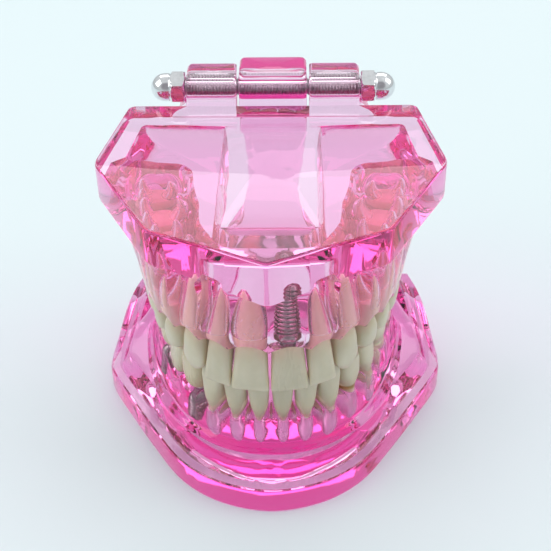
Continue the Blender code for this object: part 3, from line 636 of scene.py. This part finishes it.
def paint(ob, kind, jaw, side_tag, index, crown_only=False, tone=1.0, marks=()):
    """Point attributes: crown (1 on enamel, 0 on the root) and tint (stains and tone)."""
    me = ob.data
    n = len(me.vertices)
    co = np.zeros(n * 3)
    me.vertices.foreach_get("co", co)
    co = co.reshape(-1, 3) / MM
    k = TOOTH[kind]
    a, b, h = k["w"] / 2, k["d"] / 2, k["h"]
    x, y, z = co[:, 0] / a, co[:, 1] / b, co[:, 2]
    amp = {"central": 1.5, "lateral": 1.7, "canine": 2.0, "l_incisor": 2.8, "l_lateral": 2.8, "l_canine": 2.6,
           "premolar": 1.1, "l_premolar": 1.6}.get(kind, .8)
    neck = -0.3 + amp * np.minimum(1.3, (x / neck_share(kind)) ** 2)
    crown = np.ones(n) if crown_only else step(-.22, .22, z - neck)
    tint = np.ones((n, 4))
    lo = step(.55 * h, 0, z)
    shade = tone * (1 - .10 * lo)
    tint[:, 0] *= shade
    tint[:, 1] *= shade * (1 - .03 * lo)
    tint[:, 2] *= shade * (1 - .14 * lo)
    sides = step(.72, .98, np.abs(x)) * step(-.2 * h, .15 * h, z) * (1 - step(.75 * h, .98 * h, z))
    amber = .55 if jaw == "upper" and index < 3 else .22
    for c, v in enumerate((.96, .80, .48)):
        tint[:, c] *= 1 - amber * sides * (1 - v)
    tip = step(.86 * h, h, z) * (.05 if kind not in CUSPS else -.12)   # glassy edge, dark pits
    tint[:, :3] *= (1 + tip)[:, None] if kind not in CUSPS else 1.0
    if kind in CUSPS:
        top = max(c[2] for c in CUSPS[kind])
        u, v = co[:, 0] / a, co[:, 1] / b
        pit = np.exp(-(v / .12) ** 2) * np.exp(-(u / .7) ** 4) * step(h - top - 1.2, h - top - .4, z)
        tint[:, :3] *= (1 - .25 * pit)[:, None]
    for (mx, my, mz, radius, colour) in marks:
        d = np.sqrt((co[:, 0] - mx) ** 2 + (co[:, 1] - my) ** 2 + (co[:, 2] - mz) ** 2)
        w = 1 - step(radius * .55, radius, d)
        for c in range(3):
            tint[:, c] = tint[:, c] * (1 - w) + colour[c] * w
    for name, kindof, data in (("crown", "FLOAT", crown), ("tint", "FLOAT_COLOR", tint.ravel())):
        at = me.attributes.new(name, kindof, "POINT")
        at.data.foreach_set("value" if kindof == "FLOAT" else "color", np.ascontiguousarray(data, dtype=np.float32).ravel())


def ring_mark(colour, kind, z, count=14):
    k = TOOTH[kind]
    f, a, b, h, r = tooth_curve(kind)
    A, B, O, P, L = f(max(z, .1))
    return [(A * math.cos(t), B * math.sin(t), z, .75, colour) for t in np.linspace(.3, math.pi - .3, count)]


MARKS = {"upper_left_first_molar": [(-3.2, 4.6, 1.0, 1.15, (.62, .03, .03)), (-2.4, 4.9, .7, .7, (.45, .02, .02))],
         "lower_left_first_premolar": ring_mark((.52, .33, .10), "l_premolar", .15),
         "upper_left_second_molar": [(2.0, 4.4, 1.2, 1.2, (.50, .34, .16))]}

placed = {}
sockets = {"upper": [], "lower": []}
tone_seed = 0
for jaw in ("upper", "lower"):
    for side, tag in ((-1, "right"), (1, "left")):
        for mid, w, d, i in STATIONS[jaw]:
            if (tag, i) in MISSING[jaw]:
                continue
            kind = ROWS[jaw][i]
            cad = f"{jaw}_{tag}_{NAMES[i]}"
            m = tooth_matrix(jaw, side * mid, i, kind)
            bodies, needs = tooth_parts(kind)
            ob = make_mesh("tooth_" + cad, *joined(bodies), M_TOOTH, m)
            if needs:
                remeshed(ob, 0.21, 4)
                if not ob.data.materials:
                    ob.data.materials.append(M_TOOTH)
            smooth(ob)
            tone_seed += 1
            marks = MARKS.get(cad, ())
            paint(ob, kind, jaw, tag, i, tone=1.0 + .035 * math.sin(tone_seed * 2.4), marks=marks)
            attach(ob, BODY[jaw])
            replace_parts(ob, cad)
            placed[cad] = ob
            mat = np.array(m)
            for v, f in socket_parts(kind):
                v = v @ mat[:3, :3].T + mat[:3, 3]
                sockets[jaw].append(outward(v, f, inward=True))

# implant crown and bridge
m = tooth_matrix("upper", STATIONS["upper"][0][0], 0, "central")
bodies, _ = tooth_parts("central", crown_only=True)
ob = smooth(make_mesh("implant_crown_upper_left", *joined(bodies), M_CROWN, m))
paint(ob, "central", "upper", "left", 0, crown_only=True, tone=.97)
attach(ob, "upper_jaw")
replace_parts(ob, "upper_left_central_implant_crown")

units = []
first = tooth_matrix("lower", -(STATIONS["lower"][4][0]), 4, "l_premolar")
inv = np.array(first.inverted())
for k, shift, wide in ((3, .42, .40), (4, 0.0, .55), (5, -.42, .40)):
    kind = ROWS["lower"][k]
    mm = np.array(tooth_matrix("lower", -(STATIONS["lower"][k][0] + shift), k, kind))
    for v, f in tooth_parts(kind, crown_only=True, wide=wide)[0]:
        v = v @ mm[:3, :3].T + mm[:3, 3]
        units.append(outward(v @ inv[:3, :3].T + inv[:3, 3], f))
ob = make_mesh("bridge_lower_right", *joined(units), M_CROWN, first)
remeshed(ob, 0.21, 3)
if not ob.data.materials:
    ob.data.materials.append(M_CROWN)
smooth(ob)
paint(ob, "l_premolar", "lower", "right", 4, crown_only=True, tone=1.0)
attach(ob, "lower_jaw")
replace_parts(ob, "lower_right_bridge")


# ---------------------------------------------------------------- implants, posts, pin, nuts
def turned(name, profile, matrix, mat, n=64, degrees=35):
    ang = 2 * np.pi * np.arange(n) / n
    rings = [np.stack([r * np.cos(ang), r * np.sin(ang), np.full(n, z)], 1) for r, z in profile[1:-1]]
    v, f = outward(*loft_data(rings, (0, 0, profile[0][1]), (0, 0, profile[-1][1])))
    return smooth(make_mesh(name, v, f, mat, matrix), degrees)


def threaded(name, length, r, matrix, mat, pitch=.85, depth=.30, taper=.14, neck=1.3, n=56):
    """Screw fixture hanging from its platform at z = 0: polished collar, helical thread, cutting flutes, round tip."""
    ang = 2 * np.pi * np.arange(n) / n
    rings = [np.stack([rr * np.cos(ang), rr * np.sin(ang), np.full(n, z)], 1) for rr, z in
             ((r * .55, 0), (r - .14, 0), (r, -.12), (r, -neck + .25), (r - .12, -neck + .1))]
    dz = pitch / 10
    z = -neck
    while z > -length + .5:
        q = (-z - neck) / (length - neck)
        phase = (z / pitch + ang / (2 * np.pi)) % 1.0
        tooth = np.clip(1.35 - 2.7 * np.abs(phase - .5), 0, 1)
        fade = step(0, .6, -z - neck) * (1 - step(length - 1.4, length - .5, -z))
        body = (r - .02) * (1 - taper * q) - depth
        rad = body + depth * tooth * fade + depth * .5 * (1 - fade) * 0
        flute = step(.62, .8, q) * .45 * np.clip(np.cos(3 * ang) - .72, 0, 1) / .28
        rad = (rad - flute) * (1 - .5 * step(length - 1.6, length, -z) ** 2)
        rings.append(np.stack([rad * np.cos(ang), rad * np.sin(ang), np.full(n, z)], 1))
        z -= dz
    for s in (.75, .45, .15):
        last = rings[-1]
        rings.append(np.stack([last[:, 0] * s, last[:, 1] * s, last[:, 2] - .14], 1))
    v, f = outward(*loft_data(rings))
    return smooth(make_mesh(name, v, f, mat, matrix), 50)


for jaw, side, i, t, length, r, cad in IMPLANTS:
    m = tooth_matrix(jaw, side * STATIONS[jaw][i][0], i, ROWS[jaw][i])
    fix = threaded("fixture_" + cad, length, r, m @ Matrix.Translation((0, 0, t)), M_FIXTURE)
    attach(fix, BODY[jaw])
    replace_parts(fix, cad)
    post = turned("post_" + cad, [(0, 5.0), (.55, 5.0), (.62, 4.75), (.7, 5.0), (1.0, 5.0), (1.2, 4.85), (1.25, 4.6), (1.75, .9), (2.15, .62),
                                  (2.2, .5), (1.75, .12), (1.65, .0), (0, 0)], m @ Matrix.Translation((0, 0, t + .32)), M_POST)
    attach(post, BODY[jaw])
    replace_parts(post, cad.replace("implant", "abutment"))

# pin: M4 rod with its thread
n, pitch = 40, .7
ang = 2 * np.pi * np.arange(n) / n
rings = []
for z in np.concatenate([[-25.6, -25.45], np.arange(-25.3, 25.31, pitch / 7), [25.45, 25.6]]):
    phase = (z / pitch + ang / (2 * np.pi)) % 1.0
    rad = 1.70 + .29 * (1 - 2 * np.abs(phase - .5))
    rad = rad - .35 * step(25.1, 25.6, abs(z))
    rings.append(np.stack([np.full(n, z), AXIS_Y + rad * np.cos(ang), AXIS_Z + rad * np.sin(ang)], 1))
pin = smooth(make_mesh("threaded_hinge_pin", *outward(*loft_data(rings)), M_PIN), 60)
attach(pin, "upper_jaw")
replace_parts(pin, "hinge_pin")


def domed_nut(name, side):
    """Hexagon with chamfered corners, a collar and a polished dome; blind hole on the inner face."""
    n = 96
    ang = 2 * np.pi * np.arange(n) / n
    hexa = 3.48 / np.cos((ang + np.pi / 6) % (np.pi / 3) - np.pi / 6)
    prof = [(2.25, 5.9, 0), (2.25, .3, 0), (2.45, 0.0, 0), (3.30, 0.0, 0), (3.44, .05, 1), (3.72, .22, 1), (4.1, .5, 1), (4.1, 2.75, 1), (3.85, 2.98, 1),
            (3.5, 3.22, 1), (3.36, 3.36, 1), (3.10, 3.42, 0), (3.06, 3.55, 0), (3.22, 3.72, 0), (3.25, 3.9, 0), (3.25, 4.75, 0)]
    prof += [(3.25 * math.cos(t), 4.75 + 3.25 * math.sin(t), 0) for t in np.linspace(.08, 1.48, 18)]
    rings = []
    for r, z, hx in prof:
        rad = np.minimum(hexa, r) if hx else np.full(n, r)
        rings.append(np.stack([side * (LUG_OUT + .32 + np.full(n, z)), AXIS_Y + rad * np.cos(ang), AXIS_Z + rad * np.sin(ang)], 1))
    v, f = loft_data(rings, (side * (LUG_OUT + .32 + 5.9), AXIS_Y, AXIS_Z), (side * (LUG_OUT + .32 + 8.0), AXIS_Y, AXIS_Z))
    ob = smooth(make_mesh(name, *outward(v, f), M_NUT), 28)
    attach(ob, "upper_jaw")
    return ob


for side, tag in ((-1, "right"), (1, "left")):
    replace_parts(domed_nut(f"acorn_nut_{tag}", side), f"domed_nut_{tag}")


# ---------------------------------------------------------------- resin bodies
def corner_outline(points, radius, per=7, straight=9):
    """Outline with rounded corners and evenly divided sides."""
    out, n = [], len(points)
    corners = []
    for i, p in enumerate(points):
        p = np.array(p, float)
        a, b = np.array(points[i - 1], float) - p, np.array(points[(i + 1) % n], float) - p
        r = min(radius[i], np.linalg.norm(a) / 3, np.linalg.norm(b) / 3)
        corners.append((p + a / np.linalg.norm(a) * r, p, p + b / np.linalg.norm(b) * r))
    for i, (pa, p, pb) in enumerate(corners):
        for k in range(per + 1):
            s = k / per
            out.append((1 - s) ** 2 * pa + 2 * s * (1 - s) * p + s * s * pb)
        nxt = corners[(i + 1) % n][0]
        for k in range(1, straight):
            out.append(pb + (nxt - pb) * k / straight)
    return np.array(out)


def inset(pts, d):
    l = np.linalg.norm(pts, axis=1, keepdims=True)
    return pts * (1 - d / l)


def ray_to_outline(p, nor, pts):
    """Distance from p along nor to a closed outline."""
    best = 1e9
    for i in range(len(pts)):
        a, b = pts[i - 1], pts[i]
        e = b - a
        den = nor[0] * e[1] - nor[1] * e[0]
        if abs(den) < 1e-9:
            continue
        w = a - p
        t = (w[0] * e[1] - w[1] * e[0]) / den
        u = (w[0] * nor[1] - w[1] * nor[0]) / den
        if t > 0 and -1e-6 <= u <= 1 + 1e-6:
            best = min(best, t)
    return best


def papilla(jaw, s):
    q = abs(s)
    for mid, w, _, _ in STATIONS[jaw]:
        if q <= mid + w / 2:
            return min(1.0, abs(q - mid) / (w / 2)) ** 2
    return .6


UPPER_LINE = corner_outline(UPPER_OUTLINE, [1.0, 1.8, 2.6, 1.6, 1.6, 2.6, 1.8])


def ridge_data(jaw, per=6):
    sts = STATIONS[jaw]
    last = sts[-1][0] + sts[-1][1] / 2
    ends = 4.6
    half = list(np.arange(.0, last, .42)) + list(last + ends * np.sin(np.linspace(0, math.pi / 2, 15)))
    ss = [-s for s in reversed(half[1:])] + half
    depth = [TOOTH[k]["d"] for k in ROWS[jaw]]
    rings = []
    for s in ss:
        p, nor, tan = ARCHES[jaw].frame(s)
        d, gum = along(jaw, s, depth), along(jaw, s, GUM[jaw])
        pap = papilla(jaw, s)
        over = max(0.0, abs(s) - last)
        pinch = math.sqrt(max(0.0, 1 - (over / ends) ** 2)) * .62 + .38 if over > 0 else 1.0
        root = (1 - pap) * .34 * (1 if over == 0 else 0)
        if jaw == "upper":
            e = 4.0 * float(step(15, 27, abs(s))) * (1.0 if over == 0 else max(0.0, 1 - over / ends))
            z = (gum - 1.5 * pap) if over == 0 else gum - .9 + over * 1.15
            reach = max(0.0, ray_to_outline(p, nor, UPPER_LINE) - 1.3) if over < ends * .98 else 2.0
            reach = min(reach, 9.0) * (1.0 if over == 0 else max(.25, 1 - over / ends))
            reach = -.3 + (reach + .3) * float(step(9, 21, abs(s)))
            top = 54.0

            def out_at(zz, base):
                u = np.clip((zz - 37.5) / (52.6 - 37.5), 0, 1)
                return base + (reach - base) * u ** 2.1 if reach > base else base + (min(reach, base) - base) * u ** 2
            prof = [(out_at(53, .0) - .3, top), (out_at(50.6, .4), 50.6), (out_at(48.4, .8) + root * .5, 48.4), (out_at(45.8, 1.1) + root, 45.8),
                    (out_at(42.0, 1.05) + root, 42.0), (.62 + root * .5, z + 1.7), (.1, z + .45), (-.5 - .4 * pap, z + .05), (-d / 2, z - .2), (-d + .6 + .4 * pap, z + .1),
                    (-d - .5, z + 1.7), (-d - 1.5, 42.4), (-d - 2.5 - .3 * e, 46.2), (-d - 3.5 - .5 * e, 49.2), (-d - 4.7 - .8 * e, 51.5), (-d - 5.4 - e, top)]
        else:
            z = (gum + 1.5 * pap) if over == 0 else gum + .9 - over * .9
            prof = [(4.9, 3.0), (4.1, 9.6), (3.1, 11.2), (2.0, 12.5), (1.05 + root * .6, min(14.6, z - 2.2)), (.62 + root * .4, z - 1.3), (.1, z - .4), (-.5 - .4 * pap, z - .05),
                    (-d / 2, z + .2), (-d + .6 + .4 * pap, z - .1), (-d - .6, z - 1.6), (-d - 1.5, 13.2), (-d - 2.6, 10.8), (-d - 4.2, FLOOR + .1), (-d - 4.6, 3.0)]
        mid = -d / 2
        ring = []
        for o, zz in prof:
            q = p + nor * (mid + (o - mid) * pinch)
            ring.append((q[0], q[1], zz))
        rings.append(closed_spline(ring, per))
    return outward(*loft_data(rings))


def block(levels):
    """Closed body through stacked rounded rectangles (x0, x1, y0, y1, z, corner radius)."""
    rings = []
    for x0, x1, y0, y1, z, r in levels:
        pts = []
        r = min(r, abs(x1 - x0) / 2.2, abs(y1 - y0) / 2.2)
        for cx, cy, a0 in ((x1 - r, y1 - r, 0), (x0 + r, y1 - r, 90), (x0 + r, y0 + r, 180), (x1 - r, y0 + r, 270)):
            for k in range(6):
                a = math.radians(a0 + 90 * k / 5)
                pts.append((cx + r * math.cos(a), cy + r * math.sin(a), z))
        rings.append(pts)
    return outward(*loft_data(rings))


def bore(name, x):
    n = 64
    ang = 2 * np.pi * np.arange(n) / n
    rings = [np.stack([np.full(n, q), AXIS_Y + BORE_R * np.cos(ang), AXIS_Z + BORE_R * np.sin(ang)], 1) for q in (-x, x)]
    return make_mesh(name, *outward(*loft_data(rings)))


def clamp_to_box(ob, cad):
    lo, hi = CAD_BOX
    me = ob.data
    co = np.zeros(len(me.vertices) * 3, np.float32)
    me.vertices.foreach_get("co", co)
    co = co.reshape(-1, 3)
    co = np.minimum(np.maximum(co, np.array(lo, np.float32)), np.array(hi, np.float32))
    me.vertices.foreach_set("co", co.ravel())
    me.update()


def tidy(ob):
    bm = bmesh.new()
    bm.from_mesh(ob.data)
    bmesh.ops.remove_doubles(bm, verts=bm.verts, dist=2e-6)
    bmesh.ops.dissolve_degenerate(bm, edges=bm.edges, dist=1e-6)
    bm.to_mesh(ob.data)
    open_edges = sum(1 for e in bm.edges if len(e.link_faces) != 2)
    bm.free()
    print("resin", ob.name, len(ob.data.vertices), "open edges", open_edges)


def add_shells(ob, shells):
    """Adds the socket walls inside the resin, facing into the sockets."""
    v, f = joined(shells)
    other = make_mesh("shells", v, f)
    outer = len(ob.data.vertices)
    bm = bmesh.new()
    bm.from_mesh(ob.data)
    bm.from_mesh(other.data)
    bm.to_mesh(ob.data)
    bm.free()
    bpy.data.objects.remove(other, do_unlink=True)
    # the socket walls keep the satin surface of the casting
    satin = np.zeros(len(ob.data.vertices), np.float32)
    satin[outer:] = 1.0
    ob.data.attributes.new("frost", "FLOAT", "POINT").data.foreach_set("value", satin)


def finish_resin(ob, mat, body, cad, shells, degrees):
    tidy(ob)
    clamp_to_box(ob, cad)
    add_shells(ob, shells)
    ob.data.materials.clear()
    ob.data.materials.append(mat)
    for poly in ob.data.polygons:
        poly.material_index = 0
    smooth(ob, degrees)
    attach(ob, body)
    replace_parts(ob, cad)


# upper: plate with polished facets, ridge, knuckles
levels = [(3.4, 52.0), (1.4, 52.15), (.5, 52.35), (.12, 52.7), (0, 53.2), (0, 60.35), (.05, 60.62), (.2, 60.84), (.42, 60.96), (.8, 61.0)]
rings = []
for d, z in levels:
    q = inset(UPPER_LINE, d)
    lip = 2.0 * np.clip(1 - np.abs(q[:, 0]) / 17.0, 0, 1) * (q[:, 1] < -18) * (z < 53.5)   # deeper prow at the front corner
    rings.append(np.column_stack([q, z - lip]))
upper = make_mesh("upper_resin_body", *outward(*loft_data(rings)))
boolean(upper, make_mesh("ridge_u", *ridge_data("upper")), "UNION")
# thick cast roof around a narrow palate pocket that runs out at the back
rings = [np.column_stack([inset(UPPER_LINE, d), np.full(len(UPPER_LINE), z)]) for d, z in
         ((4.0, 54.0), (4.4, 51.3), (5.6, 48.6), (7.6, 46.4), (10.6, 44.9), (14.0, 44.2))]
boolean(upper, make_mesh("roof", *outward(*loft_data(rings))), "UNION")
pocket = block([(-11.6, 11.6, -18.2, 45, 30, 4), (-11.6, 11.6, -18.2, 45, 44, 4), (-11.3, 11.3, -18.0, 45, 49.2, 4),
                (-11.2, 11.2, -17.6, 45, 50.8, 4), (-11.0, 11.0, -17.2, 45, 51.6, 3.6), (-10.0, 10.0, -16.2, 45, 51.95, 3)])
boolean(upper, make_mesh("pocket", *pocket), "DIFFERENCE")
for side in (-1, 1):
    def span(xo, y0, y1, z, r):
        return (side * LUG_IN, side * xo, y0, y1, z, r) if side > 0 else (-xo, -LUG_IN, y0, y1, z, r)
    lug = block([span(23.3, 26.6, 36.4, 53.0, 1.0), span(23.4, 26.6, 37.2, 53.5, 1.0), span(23.1, 26.8, 37.6, 54.6, .9), span(22.2, 26.9, 37.6, 57.0, .9),
                 span(20.9, 27.0, 37.6, 58.8, .9), span(20.1, 27.4, 37.6, 60.0, .9), span(20.0, 28.9, 37.6, 61.2, .9), span(20.0, 28.9, 37.6, 65.7, .9),
                 span(19.85, 29.05, 37.45, 66.5, .9), span(19.4, 29.5, 37.0, 67.1, .9), span(18.7, 30.2, 36.3, 67.4, .9)])
    boolean(upper, make_mesh("lug", *lug), "UNION")
boolean(upper, bore("bore_u", 30), "DIFFERENCE")
finish_resin(upper, M_UPPER, "upper_jaw", "upper_base", sockets["upper"], 24)

# lower: stepped rim, ridge, rear post
front = [(x, y) for x, y in LOWER_HALF]
loop = [(-x, y) for x, y in reversed(front[1:])] + front


def front_curve(points, step_mm=.7):
    """Smooth open curve through the points, even spacing."""
    p = np.asarray(points, float)
    ext = np.vstack([2 * p[0] - p[1], p, 2 * p[-1] - p[-2]])
    out = []
    for i in range(1, len(ext) - 2):
        p0, p1, p2, p3 = ext[i - 1], ext[i], ext[i + 1], ext[i + 2]
        k = max(2, int(np.linalg.norm(p2 - p1) / step_mm))
        l = np.linalg.norm(p2 - p1)
        t1 = (p2 - p0) / (np.linalg.norm(p2 - p1) + np.linalg.norm(p1 - p0)) * l
        t2 = (p3 - p1) / (np.linalg.norm(p3 - p2) + np.linalg.norm(p2 - p1)) * l
        for j in range(k):
            s = j / k
            out.append((2 * s ** 3 - 3 * s * s + 1) * p1 + (s ** 3 - 2 * s * s + s) * t1 + (-2 * s ** 3 + 3 * s * s) * p2 + (s ** 3 - s * s) * t2)
    out.append(p[-1])
    return np.array(out)


line = front_curve(loop)
a, b = line[-1], line[0]
line = np.vstack([line, [a + (b - a) * k / 60 for k in range(1, 60)]])
line[:, 0] = np.clip(line[:, 0], -39.0, 39.0)
line[:, 1] = np.clip(line[:, 1], -40.6, 28.6)


def heel(y, base, lift):
    t = np.clip((y - 2.0) / 22.0, 0, 1)
    return base + lift * t * t * (3 - 2 * t)


azim = np.degrees(np.arctan2(line[:, 0], -(line[:, 1] - 12)))
frenum = np.exp(-(azim / 2.6) ** 2) + .8 * np.exp(-((np.abs(azim) - 41) / 3.2) ** 2)
prof = [(.9, 0.0, 0), (.35, .06, 0), (.08, .25, 0), (0, .6, 0), (0, LOWER_WALL - 1.2, 5.7), (0, LOWER_WALL - .7, 6.0), (.10, LOWER_WALL - .3, 6.3),
        (.38, LOWER_WALL - .04, 6.5), (.8, LOWER_WALL + .04, 6.6), (1.5, LOWER_WALL + .02, 6.8), (2.2, LOWER_WALL + .15, 6.9), (2.9, LOWER_WALL + .65, 6.7),
        (3.5, LOWER_WALL + 1.5, 6.2), (4.0, LOWER_WALL + 2.5, 5.7), (4.4, LOWER_WALL + 3.3, 5.3), (4.8, LOWER_WALL + 3.85, 5.0), (5.3, LOWER_WALL + 4.05, 4.8),
        (6.2, LOWER_WALL + 3.9, 4.3), (7.4, LOWER_WALL + 3.75, 3.6), (9.0, LOWER_WALL + 4.1, 2.6), (11.5, LOWER_WALL + 3.8, 1.4), (15.5, FLOOR, 0)]
rings = []
for d, z, lift in prof:
    q = inset(line, d)
    zz = heel(q[:, 1] if lift else q[:, 1] * 0, z, lift)
    if 1.0 < d < 6:
        zz = zz + frenum * .9 * math.sin((d - 1.0) / 5 * math.pi) * (q[:, 1] < 10)
    rings.append(np.column_stack([q, zz]))
lower = make_mesh("lower_resin_body", *outward(*loft_data(rings)))
boolean(lower, make_mesh("ridge_l", *ridge_data("lower")), "UNION")
post = block([(-14.2, 14.2, 25.2, 38.0, 0.0, .5), (-14.8, 14.8, 25.0, 38.5, .5, .8), (-15, 15, 25.0, 38.8, 1.2, 1), (-15, 15, 25.0, 39.0, 5.4, 1.0),
              (-14.4, 14.4, 25.2, 39.0, 7.6, 1), (-12.6, 12.6, 25.7, 39.0, 10.2, 1), (-10.4, 10.4, 26.8, 39.0, 12.8, 1), (-8.8, 8.8, 27.9, 39.0, 15.2, 1),
              (-8.0, 8.0, 28.7, 39.0, 17.6, 1), (-7.8, 7.8, 29, 39.0, 19.4, 1.0), (-7.8, 7.8, 29, 39, 43, 1.0), (-7.8, 7.8, 29, 39, 66.6, 1.0),
              (-7.7, 7.7, 29.1, 38.9, 67.3, 1), (-7.3, 7.3, 29.5, 38.5, 67.9, 1), (-6.6, 6.6, 30.2, 37.8, 68.2, 1)])
boolean(lower, make_mesh("post", *post), "UNION")
boolean(lower, bore("bore_l", 12), "DIFFERENCE")
finish_resin(lower, M_LOWER, "lower_jaw", "lower_base", sockets["lower"], 24)


# ---------------------------------------------------------------- floor, light
def floor():
    me = bpy.data.meshes.new("floor")
    s, z = 3.0, -0.0003
    me.from_pydata([(-s, -s, z), (s, -s, z), (s, s, z), (-s, s, z)], [], [(0, 1, 2, 3)])
    ob = bpy.data.objects.new("floor", me)
    scene.collection.objects.link(ob)
    m, nt, p, out = new_material("pale_floor")
    co = nt.nodes.new("ShaderNodeTexCoord").outputs["Object"]
    n = noise_node(nt, co, 1.6, 2.0)
    nt.links.new(mixed(nt, ranged(nt, n.outputs["Fac"], 0, 1), (.71, .81, .83), (.75, .83, .845)), p.inputs["Base Color"])
    p.inputs["Roughness"].default_value = 0.7
    p.inputs["Specular IOR Level"].default_value = 0.2
    me.materials.append(m)


floor()


def area(name, at, aim, size, energy, colour=(1, 1, 1)):
    li = bpy.data.lights.new(name, "AREA")
    li.shape, li.size, li.size_y, li.energy, li.color = "RECTANGLE", size[0], size[1], energy, colour
    ob = bpy.data.objects.new(name, li)
    ob.location = at
    ob.rotation_euler = (Vector(aim) - Vector(at)).to_track_quat("-Z", "Y").to_euler()
    scene.collection.objects.link(ob)


area("left_softbox", (-0.55, -0.10, 0.50), (0, 0, .03), (.5, .5), 1.5)
area("right_softbox", (0.55, 0.02, 0.50), (0, 0, .03), (.4, .5), 1.1)
area("back_softbox", (0.0, 0.55, 0.60), (0, 0, .03), (.8, .35), 1.6)

w = bpy.data.worlds.new("studio")
scene.world = w
w.use_nodes = True
nt = w.node_tree
bg = nt.nodes["Background"]
co = nt.nodes.new("ShaderNodeTexCoord").outputs["Generated"]
sep = nt.nodes.new("ShaderNodeSeparateXYZ")
nt.links.new(co, sep.inputs[0])
sky = nt.nodes.new("ShaderNodeValToRGB")
sky.color_ramp.elements[0].position, sky.color_ramp.elements[0].color = 0.0, (.74, .80, .81, 1)
sky.color_ramp.elements[1].position, sky.color_ramp.elements[1].color = 0.75, (1.0, 1.04, 1.05, 1)
nt.links.new(sep.outputs["Z"], sky.inputs[0])
# the unlit side where the photographer stands, which metal and polished resin mirror
dot = nt.nodes.new("ShaderNodeVectorMath")
dot.operation = "DOT_PRODUCT"
nt.links.new(co, dot.inputs[0])
dot.inputs[1].default_value = (.02, -.84, .54)
dim = mixed(nt, ranged(nt, dot.outputs["Value"], 0, 1, .80, .93), sky.outputs[0], (.44, .43, .46))
path = nt.nodes.new("ShaderNodeLightPath")
nt.links.new(mixed(nt, path.outputs["Is Camera Ray"], dim, (.80, .89, .895)), bg.inputs["Color"])
bg.inputs["Strength"].default_value = 0.78

scene.view_settings.view_transform = "Standard"
scene.cycles.max_bounces = 26
scene.cycles.transmission_bounces = 24
scene.cycles.transparent_max_bounces = 24
scene.cycles.diffuse_bounces = 4
scene.cycles.glossy_bounces = 8
scene.cycles.volume_bounces = 0
scene.cycles.sample_clamp_indirect = 6.0
scene.cycles.use_denoising = True

bpy.context.view_layer.update()
